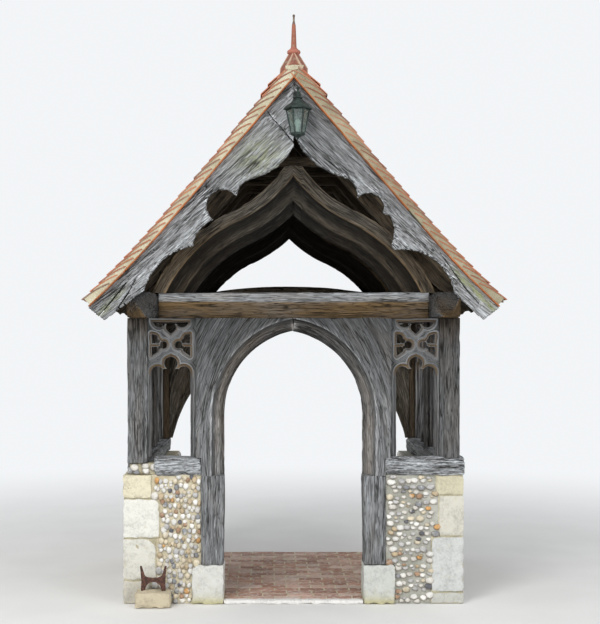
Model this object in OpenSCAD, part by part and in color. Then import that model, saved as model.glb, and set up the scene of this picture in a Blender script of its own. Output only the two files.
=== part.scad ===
// A timber-framed church porch on flint dwarf walls, with a steep tiled roof.
// Millimetres. X runs to the right, Y runs back to the church, Z runs up from the ground.

/* [Timber frame] */
// Width over the corner posts
frame_w = 2880; // [2800:10:3000]
// Depth from the front frame's face to the church wall
porch_depth = 2320; // [2000:10:2800]
// Height from the ground to the underside of the ties and plates
post_top = 2474; // [2400:2:2600]
// Width of a corner post or a rear post
post_w = 173; // [150:1:190]
// Depth of the front and rear posts from front to back
post_d = 200; // [160:5:230]
// Depth of the rear frame from front to back
rear_d = 170; // [150:5:200]
// Width of a mid post along the side wall
mid_post_w = 150; // [120:5:200]
// Thickness of a mid post across the side wall
mid_post_t = 140; // [120:5:165]
// Height of the ties and wall plates
tie_h = 216; // [190:2:240]
// Height of the plain fillet along the top of the front tie
tie_fillet_h = 86; // [60:2:110]
// Depth of the hollow below that fillet
tie_hollow = 30; // [10:1:45]
// Width of a wall plate
plate_w = 256; // [230:2:280]
// Inset of a wall plate's outer face from the corner posts' outer face
plate_inset = 14; // [0:1:40]
// Reach of the wall plates in front of the front tie
plate_reach = 120; // [100:5:150]
// Height of the rear tie at its ends
rear_tie_h = 266; // [220:2:300]
// Camber of the rear tie at its middle
rear_camber = 130; // [60:2:160]

/* [Dwarf walls] */
// Projection of the side walls past the corner posts' outer face
wall_proud = 35; // [10:5:80]
// Height of the dwarf walls
wall_h = 1116; // [1060:2:1160]
// Thickness of the side walls
side_wall_t = 300; // [280:5:330]
// Thickness of the front walls
front_wall_t = 260; // [230:5:300]
// Recess of the flint face behind the frame's face
flint_recess = 25; // [10:1:40]
// Recess of the corner stones behind the frame's face
quoin_recess = 10; // [0:1:20]
// Height of the sill beams
sill_h = 147; // [120:1:170]
// Depth of the sill beams
sill_d = 200; // [160:5:220]
// Inset of the side sills from the walls' outer face
sill_inset = 12; // [0:1:30]
// Length cut off the left front sill, measured from the wall's outer face
sill_cut = 277; // [240:1:300]
// Height of the stone packing under the left corner post
packing_h = 100; // [60:1:120]

/* [Doorway] */
// Clear width of the doorway
door_w = 1210; // [1150:10:1300]
// Width of a lower door post
door_post_w = 195; // [180:5:210]
// Height of the scarf between the lower door posts and the arch pieces
scarf_z = 1107; // [1000:1:1116]
// Reach of the arch pieces past the lower door posts
arch_reach = 45; // [20:1:60]
// Height at which the doorway arch springs
arch_spring = 1635; // [1500:5:1700]
// Radius of each half of the doorway arch
arch_r = 739; // [680:1:740]
// Width of the moulded band round the arch
arch_band = 105; // [60:1:106]
// Thickness of the arch pieces
arch_d = 180; // [150:5:200]
// Width of a door stone
door_stone_w = 275; // [240:5:300]
// Height of a door stone
door_stone_h = 337; // [280:1:400]
// Projection of the door stones in front of the frame's face
door_stone_reach = 15; // [0:1:30]
// Radius worn off the top of the left door stone
worn_r = 70; // [20:1:100]
// Thickness of the paved floor
floor_t = 35; // [30:1:80]
// Depth of the kerb from front to back
kerb_d = 75; // [50:1:100]

/* [Lights] */
// Thickness of a light frame
light_t = 70; // [50:1:90]
// Set-back of the front lights from the frame's face
light_setback = 60; // [40:1:90]
// Width of a jamb beside the door
light_jamb_in = 52; // [40:1:60]
// Width of a jamb beside a post
light_jamb_out = 27; // [20:1:35]
// Width of the mullion between two side lights
mullion_w = 110; // [90:1:130]
// Height of the rail over the tracery
light_rail = 34; // [25:1:45]

/* [Roof] */
// Pitch of the roof, in degrees
pitch = 49.3; // [49:0.1:50]
// Distance inside the corner posts' outer face at which the roof starts to flare
flare_in = 290; // [200:5:400]
// Height of that place above the wall plates
flare_h = 613; // [580:1:660]
// Reach of the tiles past the corner posts' outer face
eaves_reach = 366; // [340:2:400]
// Pitch at the eaves, in degrees
eaves_pitch = 43; // [41:0.5:46]
// Thickness of the tiles, laths and bedding, square to the slope
tile_t = 90; // [70:1:100]
// Reach of the tiles in front of the front frame
verge_reach = 230; // [200:5:260]
// Depth of a common rafter, square to the slope
rafter_d = 130; // [120:1:150]
// Depth of a principal rafter, square to the slope
blade_d = 220; // [200:1:230]
// Width of a rafter from front to back
rafter_w = 100; // [80:1:110]
// Number of common couples between the two frames
common_count = 3; // [1:1:4]
// Depth of a sprocket at the eaves, square to the slope
sprocket_d = 70; // [50:1:90]
// Reach of the tiles past the sprockets' ends
sprocket_short = 81; // [70:1:110]
// Reach of a rafter's foot past the wall plate
rafter_tail = 70; // [40:1:90]
// Height from the collars' underside to the ridge
collar_drop = 845; // [820:1:880]
// Height of a collar
collar_h = 85; // [60:1:100]
// Thickness of a collar from front to back
collar_w = 80; // [60:1:100]
// Thickness of the ridge tiles
ridge_t = 20; // [15:1:30]
// Length of a ridge tile's wing down the slope
ridge_wing = 150; // [120:1:200]

/* [Ogee braces] */
// Height from the ridge down to the ogee's first arris at the middle line
ogee_drop = 929; // [905:1:960]
// Slope of the ogee at the middle line, in degrees
ogee_apex_slope = 55; // [53:0.5:57]
// Slope of the ogee at its flattest point, in degrees
ogee_flat_slope = 25; // [23:0.5:27]
// Radius of the upper, reversed curve
ogee_upper_r = 1200; // [1180:5:1220]
// Distance of the ogee's foot inside the wall plate's inner face
ogee_foot_in = 61; // [50:1:90]
// Width of the plain face outside the first arris
ogee_face = 108; // [90:1:115]
// Width of the hollow between the first and the second arris
ogee_hollow = 130; // [110:1:140]
// Width of the inner order inside the second arris
ogee_inner = 80; // [60:1:90]

/* [Rear arch] */
// Height from the rear arch's centres up to its feet
rear_lift = 367; // [330:1:400]
// Width of the rear arch pieces at their feet
rear_foot = 25; // [15:1:40]
// Distance of each centre past the middle
rear_past = 305; // [295:1:330]
// Thickness of the rear arch pieces
rear_arch_t = 120; // [80:1:150]
// Width of the step along the rear arch's edge
rear_step = 45; // [30:1:60]

/* [Bargeboards] */
// Thickness of a bargeboard
barge_t = 55; // [40:1:70]
// Width of the lower end of a bargeboard
barge_end_w = 165; // [140:1:200]

/* [Finial] */
// Width of the finial's base
finial_w = 236; // [200:1:250]
// Height from the base block's shoulder to the ridge
finial_shoulder_drop = 54; // [30:1:70]
// Height of the pyramid's top above the ridge
finial_rise = 86; // [60:1:120]
// Radius of the collar under the spike
finial_collar_r = 58; // [50:1:64]
// Height of the collar under the spike
finial_collar_h = 36; // [20:1:44]
// Radius of the spike at its foot
spike_r = 24; // [20:1:30]
// Height of the spike above the pyramid's top
spike_h = 340; // [300:1:380]

/* [Lantern] */
// Distance of the lantern's middle to the right of the middle line
lantern_x = 30; // [0:1:60]
// Distance of the lantern's middle in front of the front frame
lantern_y = 300; // [290:1:330]
// Height from the ridge down to the lantern body's underside
lantern_drop = 630; // [580:1:650]
// Height of the lantern's glazed body
lantern_h = 200; // [160:1:210]
// Radius of the body at its top
lantern_top_r = 104; // [90:1:110]
// Radius of the body at its foot
lantern_foot_r = 62; // [50:1:70]
// Reach of the cap past the body's top
lantern_brim = 18; // [8:1:24]
// Diameter of a corner bar
lantern_bar = 10; // [8:1:14]
// Height of the lantern's cap
lantern_cap_h = 95; // [80:1:110]
// Height of the stem between the cap and the arm
lantern_stem_h = 60; // [50:1:70]
// Radius of the knob over the arm
lantern_knob_r = 14; // [10:1:18]
// Thickness of the glass
glass_t = 3; // [2:0.5:4]

/* [Boot scraper] */
// Width of the scraper's stone
scraper_stone_w = 307; // [280:1:340]
// Projection of the scraper's stone from the wall
scraper_stone_d = 190; // [150:1:220]
// Height of the scraper's stone
scraper_stone_h = 133; // [100:1:160]
// Distance of the stone's outer end inside the wall's outer face
scraper_in = 118; // [60:1:140]
// Distance between the two uprights
scraper_span = 180; // [150:1:200]
// Height of the uprights above the stone
scraper_h = 215; // [190:1:240]
// Thickness of the iron
scraper_t = 14; // [10:1:18]

/* [Hidden] */
$fn = 96;

// Faces that several pieces share
post_out = frame_w / 2;
post_in = post_out - post_w;
wall_out = post_out + wall_proud;
wall_back = flint_recess + front_wall_t;
sill_top = wall_h + sill_h;
sill_end = wall_out - sill_cut;
door_half = door_w / 2;
door_post_out = door_half + door_post_w;
arch_out = door_post_out + arch_reach;
plate_out = post_out - plate_inset;
plate_in = plate_out - plate_w;
tie_top = post_top + tie_h;
rear_y = porch_depth - rear_d;
scraper_out = wall_out - scraper_in;
lantern_arm = 14;
lantern_cap_r = lantern_top_r + lantern_brim;
lantern_reach = lantern_y + lantern_cap_r * cos(30);
origin_y = (porch_depth - lantern_reach) / 2;

// The roof's curve: a straight slope, then an arc that flattens to the eaves
flare_x = post_out - flare_in;
eaves_x = post_out + eaves_reach;
sprocket_x = eaves_x - sprocket_short;
flare_z = tie_top + flare_h;
ridge_z = flare_z + flare_x * tan(pitch);
collar_z = ridge_z - collar_drop;
flare_r = (eaves_x - flare_x) / (sin(pitch) - sin(eaves_pitch));
flare_steps = 10;

function slope_normal(angle) = [sin(angle), cos(angle)];
function on_roof(angle, drop) =
    [flare_x, flare_z] + flare_r * slope_normal(pitch) - (flare_r + drop) * slope_normal(angle);
// Points down one slope, from the ridge to the eaves, on a line that lies drop below the tiles
function roof_line(drop) = concat(
    [[0, ridge_z - drop / cos(pitch)]],
    [for (i = [0:flare_steps]) on_roof(pitch + (eaves_pitch - pitch) * i / flare_steps, drop)]);
function reversed(points) = [for (i = [len(points) - 1:-1:0]) points[i]];
function slope_z(x, drop) = ridge_z - drop / cos(pitch) - x * tan(pitch);
function slope_x(z, drop) = (ridge_z - drop / cos(pitch) - z) / tan(pitch);

// Points of an arc about a centre, with the angles counted from the X axis
function arc(centre, radius, from, to, steps) =
    [for (i = [0:steps]) let (a = from + (to - from) * i / steps)
        centre + radius * [cos(a), sin(a)]];
// Points from a towards b on an arc that rises to the left of the way, without b itself
function bow(a, b, rise, steps) = abs(rise) < 0.5 ? [a] :
    let (way = b - a, half = norm(way) / 2, left = [-way[1], way[0]] / norm(way),
        r = (half * half + rise * rise) / (2 * abs(rise)), side = rise > 0 ? 1 : -1,
        centre = (a + b) / 2 + left * (rise - side * r),
        start = atan2(a[1] - centre[1], a[0] - centre[0]),
        lesser = 2 * asin(min(1, half / r)), sweep = abs(rise) > half ? 360 - lesser : lesser)
    [for (i = [0:steps - 1]) let (t = start - side * sweep * i / steps)
        centre + r * [cos(t), sin(t)]];
// An open line through corners [x, z, rise], where rise bows the stretch that follows
function bowed(corners, steps = 10) = concat(
    [for (i = [0:len(corners) - 2]) each bow([corners[i][0], corners[i][1]],
        [corners[i + 1][0], corners[i + 1][1]], corners[i][2], steps)],
    [[corners[len(corners) - 1][0], corners[len(corners) - 1][1]]]);

// Draws a front view (X across, Z up) as a plate from y to y + thick
module upright(y, thick) {
    translate([0, y + thick, 0]) rotate([90, 0, 0]) linear_extrude(thick) children();
}
// Draws a side view (Y across, Z up) as a bar from x to x + length
module lengthwise(x, length) {
    translate([x, 0, 0]) rotate([90, 0, 90]) linear_extrude(length) children();
}
// Puts a piece that is drawn on the right on the given side: 1 is right and -1 is left
module on_side(side) {
    if (side > 0) children();
    else mirror([1, 0, 0]) children();
}
// Moves the model so that its origin is under the middle of its box
module placed() {
    translate([0, -origin_y, 0]) children();
}
module block(from, to) {
    translate(from) cube(to - from);
}

// Dwarf walls and dressed stones

left_quoins = [[202, 240], [565, 285], [908, 315], [wall_h, 245]];
right_quoins = [[100, 285], [583, 278], [940, 216], [wall_h, 240]];
quoin_proud = 4;

module quoin_stack(courses) {
    for (i = [0:len(courses) - 1])
        block([wall_out - courses[i][1], quoin_recess, i == 0 ? 0 : courses[i - 1][0]],
            [wall_out + quoin_proud, wall_back, courses[i][0]]);
}
module door_stone(worn) {
    upright(-door_stone_reach, wall_back + door_stone_reach) union() {
        translate([door_half, 0]) square([door_stone_w, door_stone_h - worn]);
        translate([door_half, 0]) square([door_stone_w - worn, door_stone_h]);
        translate([door_half + door_stone_w - worn, door_stone_h - worn]) circle(worn);
    }
}
module front_wall(courses, worn) {
    color("tan") difference() {
        block([door_post_out, flint_recess, 0], [wall_out, wall_back, wall_h]);
        quoin_stack(courses);
        door_stone(worn);
    }
}
module side_wall() {
    color("tan") block([wall_out - side_wall_t, wall_back, 0], [wall_out, porch_depth, wall_h]);
}
module front_wall_left() {
    on_side(-1) front_wall(left_quoins, worn_r);
}
module front_wall_right() {
    on_side(1) front_wall(right_quoins, door_edge_r);
}
module side_wall_left() {
    on_side(-1) side_wall();
}
module side_wall_right() {
    on_side(1) side_wall();
}
// The left corner also has the packing on which its post stands
module quoins_left() {
    on_side(-1) color("wheat") {
        quoin_stack(left_quoins);
        block([sill_end, quoin_recess, wall_h], [post_out, post_d, wall_h + packing_h]);
    }
}
module quoins_right() {
    on_side(1) color("wheat") quoin_stack(right_quoins);
}
door_edge_r = 15;
module door_stone_left() {
    on_side(-1) color("gainsboro") door_stone(worn_r);
}
module door_stone_right() {
    on_side(1) color("gainsboro") door_stone(door_edge_r);
}
module porch_floor() {
    color("firebrick") {
        block([-door_half, kerb_d - door_stone_reach, 0], [door_half, wall_back, floor_t]);
        block([side_wall_t - wall_out, wall_back, 0],
            [wall_out - side_wall_t, porch_depth, floor_t]);
    }
}
module floor_kerb() {
    color("lightgray") block([-door_half, -door_stone_reach, 0],
        [door_half, kerb_d - door_stone_reach, floor_t]);
}

// Boot scraper

scraper_y = -scraper_stone_d / 2;
module boot_scraper_stone() {
    color("wheat") block([-scraper_out, -scraper_stone_d + quoin_recess, 0],
        [scraper_stone_w - scraper_out, quoin_recess, scraper_stone_h]);
}
// An iron H whose uprights lean apart and whose bar is arched above and below
module boot_scraper() {
    bar_h = 34;
    foot_w = 34;
    tip_w = 14;
    lean = 18;
    bar_z = 80;
    middle = scraper_stone_w / 2 - scraper_out;
    half = scraper_span / 2;
    color("saddlebrown") translate([middle, 0, scraper_stone_h]) upright(scraper_y, scraper_t)
        difference() {
            polygon([[-half - foot_w / 2, 0], [half + foot_w / 2, 0],
                [half + lean + tip_w / 2, scraper_h], [half + lean - tip_w / 2, scraper_h],
                [half - foot_w / 3, bar_z + bar_h * 1.5], [0, bar_z + bar_h],
                [-half + foot_w / 3, bar_z + bar_h * 1.5],
                [-half - lean + tip_w / 2, scraper_h], [-half - lean - tip_w / 2, scraper_h]]);
            intersection() {
                circle(half - foot_w / 2);
                translate([-half, 0]) square([2 * half, bar_z]);
            }
        }
}

// Sills and posts

module front_sill(to) {
    color("slategray") block([door_post_out, 0, wall_h], [to, sill_d, sill_top]);
}
module sill_front_left() {
    on_side(-1) front_sill(sill_end);
}
module sill_front_right() {
    on_side(1) front_sill(wall_out);
}
module side_sills() {
    for (side = [-1, 1]) on_side(side) color("slategray")
        block([wall_out - sill_inset - sill_d, max(sill_d, post_d), wall_h],
            [wall_out - sill_inset, porch_depth, sill_top]);
}
// A post whose inner front edge is worked to a hollow
module moulded_post(bottom) {
    edge_r = 38;
    color("slategray") translate([0, 0, bottom]) linear_extrude(post_top - bottom) difference() {
        translate([post_in, 0]) square([post_w, post_d]);
        translate([post_in, 0]) circle(edge_r);
    }
}
module corner_post_left() {
    on_side(-1) moulded_post(wall_h + packing_h);
}
module corner_post_right() {
    on_side(1) moulded_post(sill_top);
}
mid_y = (post_d + rear_y - mid_post_w) / 2;
module mid_posts() {
    for (side = [-1, 1]) on_side(side) color("slategray")
        block([post_out - mid_post_t, mid_y, sill_top],
            [post_out, mid_y + mid_post_w, post_top]);
}
module rear_posts() {
    for (side = [-1, 1]) on_side(side) color("slategray")
        block([post_in, rear_y, sill_top], [post_out, porch_depth, post_top]);
}

// Doorway

// Outline of half of the doorway, widened by extra
module doorway_half(extra) {
    centre_x = door_half - arch_r;
    r = arch_r + extra;
    polygon(concat([[0, 0], [door_half + extra, 0]],
        arc([centre_x, arch_spring], r, 0, acos(-centre_x / r), 24)));
}
module door_post() {
    color("slategray") block([door_half, 0, door_stone_h], [door_post_out, post_d, scarf_z]);
}
// The arch piece steps in towards the opening in three orders
module door_arch() {
    front_order = 50;
    middle_order = 100;
    orders = [[0, front_order, arch_band], [front_order, middle_order, arch_band / 2],
        [middle_order, arch_d, 0]];
    color("slategray") for (order = orders)
        upright(order[0], order[1] - order[0]) difference() {
            polygon([[0, scarf_z], [door_post_out, scarf_z], [door_post_out, sill_top],
                [arch_out, sill_top], [arch_out, post_top], [0, post_top]]);
            doorway_half(order[2]);
        }
}
module door_post_left() {
    on_side(-1) door_post();
}
module door_post_right() {
    on_side(1) door_post();
}
module door_arch_left() {
    on_side(-1) door_arch();
}
module door_arch_right() {
    on_side(1) door_arch();
}

// Lights with tracery heads

tracery_w = 344;
// Piercings of one light, drawn about the middle of a light tracery_w wide. The top of the
// piercings is at zero, and the open light runs down from them.
module tracery_piercings(open_h) {
    half = tracery_w / 2;
    foil_r = 56;
    foil_x = half - foil_r;
    foil_z = -442;
    centre_foil_z = -362;
    cusp = [62, -408];
    top_r = 48;
    // Open light with two side foils, a centre foil and an ogee point
    translate([-half, -open_h]) square([tracery_w, open_h + foil_z]);
    for (side = [-1, 1]) translate([side * foil_x, foil_z]) circle(foil_r);
    polygon([[-foil_x, foil_z - foil_r], [-foil_x, foil_z], [-cusp[0], cusp[1]],
        [cusp[0], cusp[1]], [foil_x, foil_z], [foil_x, foil_z - foil_r]]);
    translate([0, centre_foil_z]) circle(foil_r + 2);
    polygon([[-45, centre_foil_z + 35], [0, centre_foil_z + 64], [45, centre_foil_z + 35]]);
    // Side piercings with a round eye and two petals
    for (side = [-1, 1]) scale([side, 1]) {
        translate([66, -198]) circle(33);
        translate([124, -128]) circle(27);
        translate([108, -160]) circle(22);
        translate([132, -240]) circle(29);
        polygon([[84, -172], [98, -146], [124, -170], [96, -190]]);
        polygon([[88, -224], [104, -250], [128, -212], [100, -200]]);
        polygon([[108, -256], [half - 10, -306], [158, -232]]);
        polygon([[104, -110], [half - 10, -84], [148, -142]]);
    }
    // Top piercing with three lobes
    translate([0, -46]) circle(top_r);
    polygon([[-40, -74], [0, -94], [40, -74]]);
    for (side = [-1, 1]) intersection() {
        translate([side * 98, 12]) circle(58);
        translate([side * 98 - 66, -60]) square([132, 60]);
    }
    translate([-150, -14]) square([300, 14]);
}
// A frame of the given width with as many lights as clear widths, drawn from its left edge
module light_panel(width, jamb_a, jamb_b, count) {
    clear_w = (width - jamb_a - jamb_b - (count - 1) * mullion_w) / count;
    grow = clear_w / tracery_w;
    height = post_top - sill_top;
    difference() {
        translate([0, sill_top]) square([width, height]);
        for (i = [0:count - 1])
            translate([jamb_a + clear_w / 2 + i * (clear_w + mullion_w), post_top - light_rail])
                scale([grow, grow]) tracery_piercings((height - light_rail + 1) / grow);
    }
}
module front_light() {
    color("slategray") upright(light_setback, light_t) translate([arch_out, 0])
        light_panel(post_in - arch_out, light_jamb_in, light_jamb_out, 1);
}
module front_light_left() {
    on_side(-1) front_light();
}
module front_light_right() {
    on_side(1) front_light();
}
// Two bays of paired lights, one each side of the mid post
module side_lights() {
    light_x = post_out - (mid_post_t + light_t) / 2;
    bays = [[post_d, mid_y], [mid_y + mid_post_w, rear_y]];
    color("slategray") for (bay = bays)
        lengthwise(light_x, light_t) translate([bay[0], 0])
            light_panel(bay[1] - bay[0], light_jamb_in, light_jamb_in, 2);
}
module side_lights_left() {
    on_side(-1) side_lights();
}
module side_lights_right() {
    on_side(1) side_lights();
}

// Ties and plates

module front_tie_beam() {
    fillet_z = tie_top - tie_fillet_h;
    hollow_r = (fillet_z - post_top) * 0.62;
    color("slategray") lengthwise(-plate_in, 2 * plate_in) difference() {
        translate([0, post_top]) square([post_d, tie_h]);
        translate([tie_hollow - hollow_r, (fillet_z + post_top) / 2]) circle(hollow_r);
    }
}
// Front view of the rear tie, with its cambered top
module rear_tie_outline() {
    polygon(concat([[-plate_in, post_top], [plate_in, post_top]],
        reversed(bowed([[-plate_in, post_top + rear_tie_h, rear_camber],
            [plate_in, post_top + rear_tie_h, 0]], 24))));
}
module rear_tie_beam() {
    color("dimgray") upright(rear_y, rear_d) rear_tie_outline();
}
module wall_plate() {
    arris = 30;
    color("slategray") upright(-plate_reach, porch_depth + plate_reach)
        polygon([[plate_in, post_top], [plate_out, post_top], [plate_out, tie_top],
            [plate_in + arris, tie_top], [plate_in, tie_top - arris]]);
}
module wall_plate_left() {
    on_side(-1) wall_plate();
}
module wall_plate_right() {
    on_side(1) wall_plate();
}

// Ogee braces

ogee_top = ridge_z - ogee_drop;
ogee_upper = [ogee_upper_r * sin(ogee_apex_slope),
    ogee_top + ogee_upper_r * cos(ogee_apex_slope)];
// The lower curve's radius follows from the place of its foot on the wall plate
ogee_foot = [plate_in - ogee_foot_in, tie_top];
ogee_flat = slope_normal(ogee_flat_slope);
ogee_chord = ogee_foot - ogee_upper + ogee_upper_r * ogee_flat;
ogee_lower_r = -(ogee_chord * ogee_chord) / (2 * ogee_chord * ogee_flat);
ogee_lower = ogee_upper - (ogee_upper_r + ogee_lower_r) * ogee_flat;
// The area under a line that lies out outside the first arris, from the middle line outwards
module under_ogee(out) {
    // The line is drawn a little past both ends, which the intersection cuts
    top_slope = ogee_apex_slope + 8;
    foot_slope = 80;
    upper_r = ogee_upper_r - out;
    lower_r = ogee_lower_r + out;
    line = concat(
        arc(ogee_upper, upper_r, 270 - top_slope, 270 - ogee_flat_slope, 24),
        arc(ogee_lower, lower_r, 90 - ogee_flat_slope, 90 - foot_slope, 32));
    intersection() {
        polygon(concat([[-post_out, line[0][1]]], line,
            [[line[len(line) - 1][0], 0], [-post_out, 0]]));
        square([2 * post_out, collar_z]);
    }
}
module ogee_brace(y, depth) {
    orders = [[0, 0.35, 0], [0.35, 0.65, -ogee_hollow], [0.65, 1, -ogee_hollow - ogee_inner]];
    for (order = orders)
        upright(y + depth * order[0], depth * (order[1] - order[0])) difference() {
            under_ogee(ogee_face);
            under_ogee(order[2]);
            square([2 * post_out, tie_top]);
            if (y > post_d) rear_tie_outline();
        }
}
module ogee_brace_front_left() {
    on_side(-1) color("dimgray") ogee_brace(0, post_d);
}
module ogee_brace_front_right() {
    on_side(1) color("dimgray") ogee_brace(0, post_d);
}
module ogee_brace_rear_left() {
    on_side(-1) color("dimgray") ogee_brace(rear_y, rear_d);
}
module ogee_brace_rear_right() {
    on_side(1) color("dimgray") ogee_brace(rear_y, rear_d);
}

// Rear arch

rear_spring = sill_top - rear_lift;
rear_r = norm([post_in - rear_foot + rear_past, rear_lift]);
module rear_arch() {
    front_step = 50;
    steps = [[0, front_step, rear_step], [front_step, rear_arch_t, 0]];
    color("dimgray") for (step = steps)
        upright(rear_y + step[0], step[1] - step[0]) difference() {
            translate([0, sill_top]) square([post_in, post_top - sill_top]);
            intersection() {
                translate([-rear_past, rear_spring]) circle(rear_r + step[2]);
                square([post_out, post_top * 2]);
            }
        }
}
module rear_arch_left() {
    on_side(-1) rear_arch();
}
module rear_arch_right() {
    on_side(1) rear_arch();
}

// Rafters and collars

couple_first = post_d / 2;
couple_last = rear_y + rear_d / 2;
function common_y(i) = couple_first + (couple_last - couple_first) * i / (common_count + 1);
// One rafter with its sprocket, in front view. A principal is cut to fit over the ogee brace.
module rafter_outline(depth, over_ogee = false) {
    foot_x = plate_out + rafter_tail;
    difference() {
        intersection() {
            polygon(concat(roof_line(tile_t), [[0, 0]]));
            polygon([[0, slope_z(0, tile_t + depth)], [slope_x(tie_top, tile_t + depth), tie_top],
                [foot_x, tie_top], [foot_x, ridge_z], [0, ridge_z]]);
        }
        if (over_ogee) under_ogee(ogee_face);
    }
    intersection() {
        polygon(concat(roof_line(tile_t), reversed(roof_line(tile_t + sprocket_d))));
        translate([flare_x, 0]) square([sprocket_x - flare_x, ridge_z]);
    }
}
module rafters() {
    blade_ys = [couple_first - rafter_w / 2, porch_depth - rafter_w];
    color("saddlebrown") {
        upright(-plate_reach, rafter_w) rafter_outline(rafter_d);
        for (y = blade_ys) upright(y, rafter_w) rafter_outline(blade_d, true);
        for (i = [1:common_count])
            upright(common_y(i) - rafter_w / 2, rafter_w) rafter_outline(rafter_d);
    }
}
module rafters_left() {
    on_side(-1) rafters();
}
module rafters_right() {
    on_side(1) rafters();
}
module collar(y, depth) {
    low = slope_x(collar_z, tile_t + depth);
    high = slope_x(collar_z + collar_h, tile_t + depth);
    upright(y - collar_w / 2, collar_w)
        polygon([[-low, collar_z], [low, collar_z], [high, collar_z + collar_h],
            [-high, collar_z + collar_h]]);
}
module collars() {
    color("saddlebrown") {
        collar(couple_first, blade_d);
        collar(porch_depth - rafter_w / 2, blade_d);
        for (i = [1:common_count]) collar(common_y(i), rafter_d);
    }
}

// Bargeboards

// Lower edges from the tip at the middle to the foot, for a roof edge_span wide from its
// middle to its eaves. A corner is [distance from the middle, depth below the ridge, rise of
// the bow that follows it], and the rise is positive where the bow is cut into the board.
edge_span = 1806;
left_edge = [[0, 715, -55], [374, 986, 31], [484, 1147, 174], [674, 1336, 47],
    [858, 1561, 85], [1272, 1940, 0]];
right_edge = [[0, 610, -65], [401, 965, 44], [540, 1152, 105], [757, 1279, 0],
    [816, 1300, 33], [824, 1559, 0], [858, 1593, 130], [1368, 1967, 0]];
patch_joint = [[0, 682], [241, 404]];
function fitted(edge) = let (k = eaves_x / edge_span)
    [for (p = edge) [k * p[0], ridge_z - k * p[1], len(p) > 2 ? k * p[2] : 0]];

module bargeboard_outline(edge) {
    top = roof_line(tile_t);
    foot = top[len(top) - 1];
    foot_way = [-sin(eaves_pitch + 8), -cos(eaves_pitch + 8)];
    polygon(concat(top, [foot + barge_end_w * foot_way], reversed(bowed(fitted(edge), 12))));
}
// Area of the short board that was let in at the top of the left bargeboard
module patch_area() {
    ends = [for (p = fitted(patch_joint)) [p[0], p[1]]];
    polygon([ends[0], ends[0] + 1.5 * (ends[1] - ends[0]), [0, ridge_z]]);
}
module bargeboard_left() {
    on_side(-1) color("slategray") upright(-plate_reach - barge_t, barge_t) difference() {
        bargeboard_outline(left_edge);
        patch_area();
    }
}
module bargeboard_right() {
    on_side(1) color("slategray") upright(-plate_reach - barge_t, barge_t)
        bargeboard_outline(right_edge);
}
module bargeboard_patch() {
    on_side(-1) color("lightslategray") upright(-plate_reach - barge_t, barge_t)
        intersection() {
            bargeboard_outline(left_edge);
            patch_area();
        }
}

// Tiles

module roof_tiles() {
    color("chocolate") upright(-verge_reach, porch_depth + verge_reach)
        polygon(concat(roof_line(0), reversed(roof_line(tile_t))));
}
module roof_tiles_left() {
    on_side(-1) roof_tiles();
}
module roof_tiles_right() {
    on_side(1) roof_tiles();
}
module ridge_outline() {
    wing = ridge_wing * [cos(pitch), -sin(pitch)];
    lift = ridge_t * slope_normal(pitch);
    apex = [0, ridge_z];
    crown = [0, ridge_z + ridge_t / cos(pitch)];
    across = [-1, 1];
    polygon([apex, apex + wing, apex + wing + lift, crown,
        [across[0] * (wing + lift)[0], ridge_z + wing[1] + lift[1]],
        [across[0] * wing[0], ridge_z + wing[1]]]);
}
finial_back = finial_w - verge_reach;
module ridge_tiles() {
    color("firebrick") upright(finial_back, porch_depth - finial_back) ridge_outline();
}

// Finial

finial_shoulder_z = ridge_z - finial_shoulder_drop;
finial_top_z = ridge_z + finial_rise;
spike_tip_z = finial_top_z + spike_h;
// One pair of the pyramid's faces, low from its middle at the shoulder and high at its top
module pyramid_faces(turn, low, high) {
    rotate([0, 0, turn]) upright(-finial_w, 2 * finial_w)
        polygon([[-low, slope_z(finial_w, 0)], [low, slope_z(finial_w, 0)],
            [low, finial_shoulder_z], [high, finial_top_z], [-high, finial_top_z],
            [-low, finial_shoulder_z]]);
}
// A pyramid with cut corners that straddles the ridge
module finial_saddle() {
    half = finial_w / 2;
    top = finial_collar_r * 0.8;
    // Distance of the cut corners from the middle, as a share of the half width
    corner = 1.17;
    difference() {
        intersection() {
            pyramid_faces(0, half, top);
            pyramid_faces(90, half, top);
            pyramid_faces(45, half * corner, top * corner);
            pyramid_faces(-45, half * corner, top * corner);
        }
        upright(-finial_w, 2 * finial_w)
            polygon([[0, ridge_z], [finial_w * 1.5, slope_z(finial_w * 1.5, 0)],
                [-finial_w * 1.5, slope_z(finial_w * 1.5, 0)]]);
    }
}
// A turned spike with a rounded collar, a slender tip and a small ball
module finial_spike() {
    collar_half = finial_collar_h / 2;
    collar_z = finial_top_z + collar_half;
    ball_r = 10;
    ball_z = spike_tip_z - ball_r;
    neck_z = spike_tip_z - (spike_tip_z - finial_top_z) * 0.26;
    shaft_r = spike_r * 0.7;
    tip_r = ball_r * 0.8;
    rotate_extrude() polygon(concat([[0, finial_top_z]],
        arc([finial_collar_r - collar_half, collar_z], collar_half, -90, 90, 12),
        [[spike_r, finial_top_z + finial_collar_h], [shaft_r, neck_z], [tip_r, neck_z + ball_r]],
        arc([0, ball_z], ball_r, -acos(tip_r / ball_r), 90, 12)));
}
module finial() {
    color("firebrick") translate([0, finial_w / 2 - verge_reach, 0]) {
        finial_saddle();
        finial_spike();
    }
}

// Lantern

lantern_z = ridge_z - lantern_drop;
lantern_top_z = lantern_z + lantern_h;
lantern_arm_z = lantern_top_z + lantern_cap_h + lantern_stem_h;
module at_lantern() {
    translate([lantern_x, -lantern_y, 0]) children();
}
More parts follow.
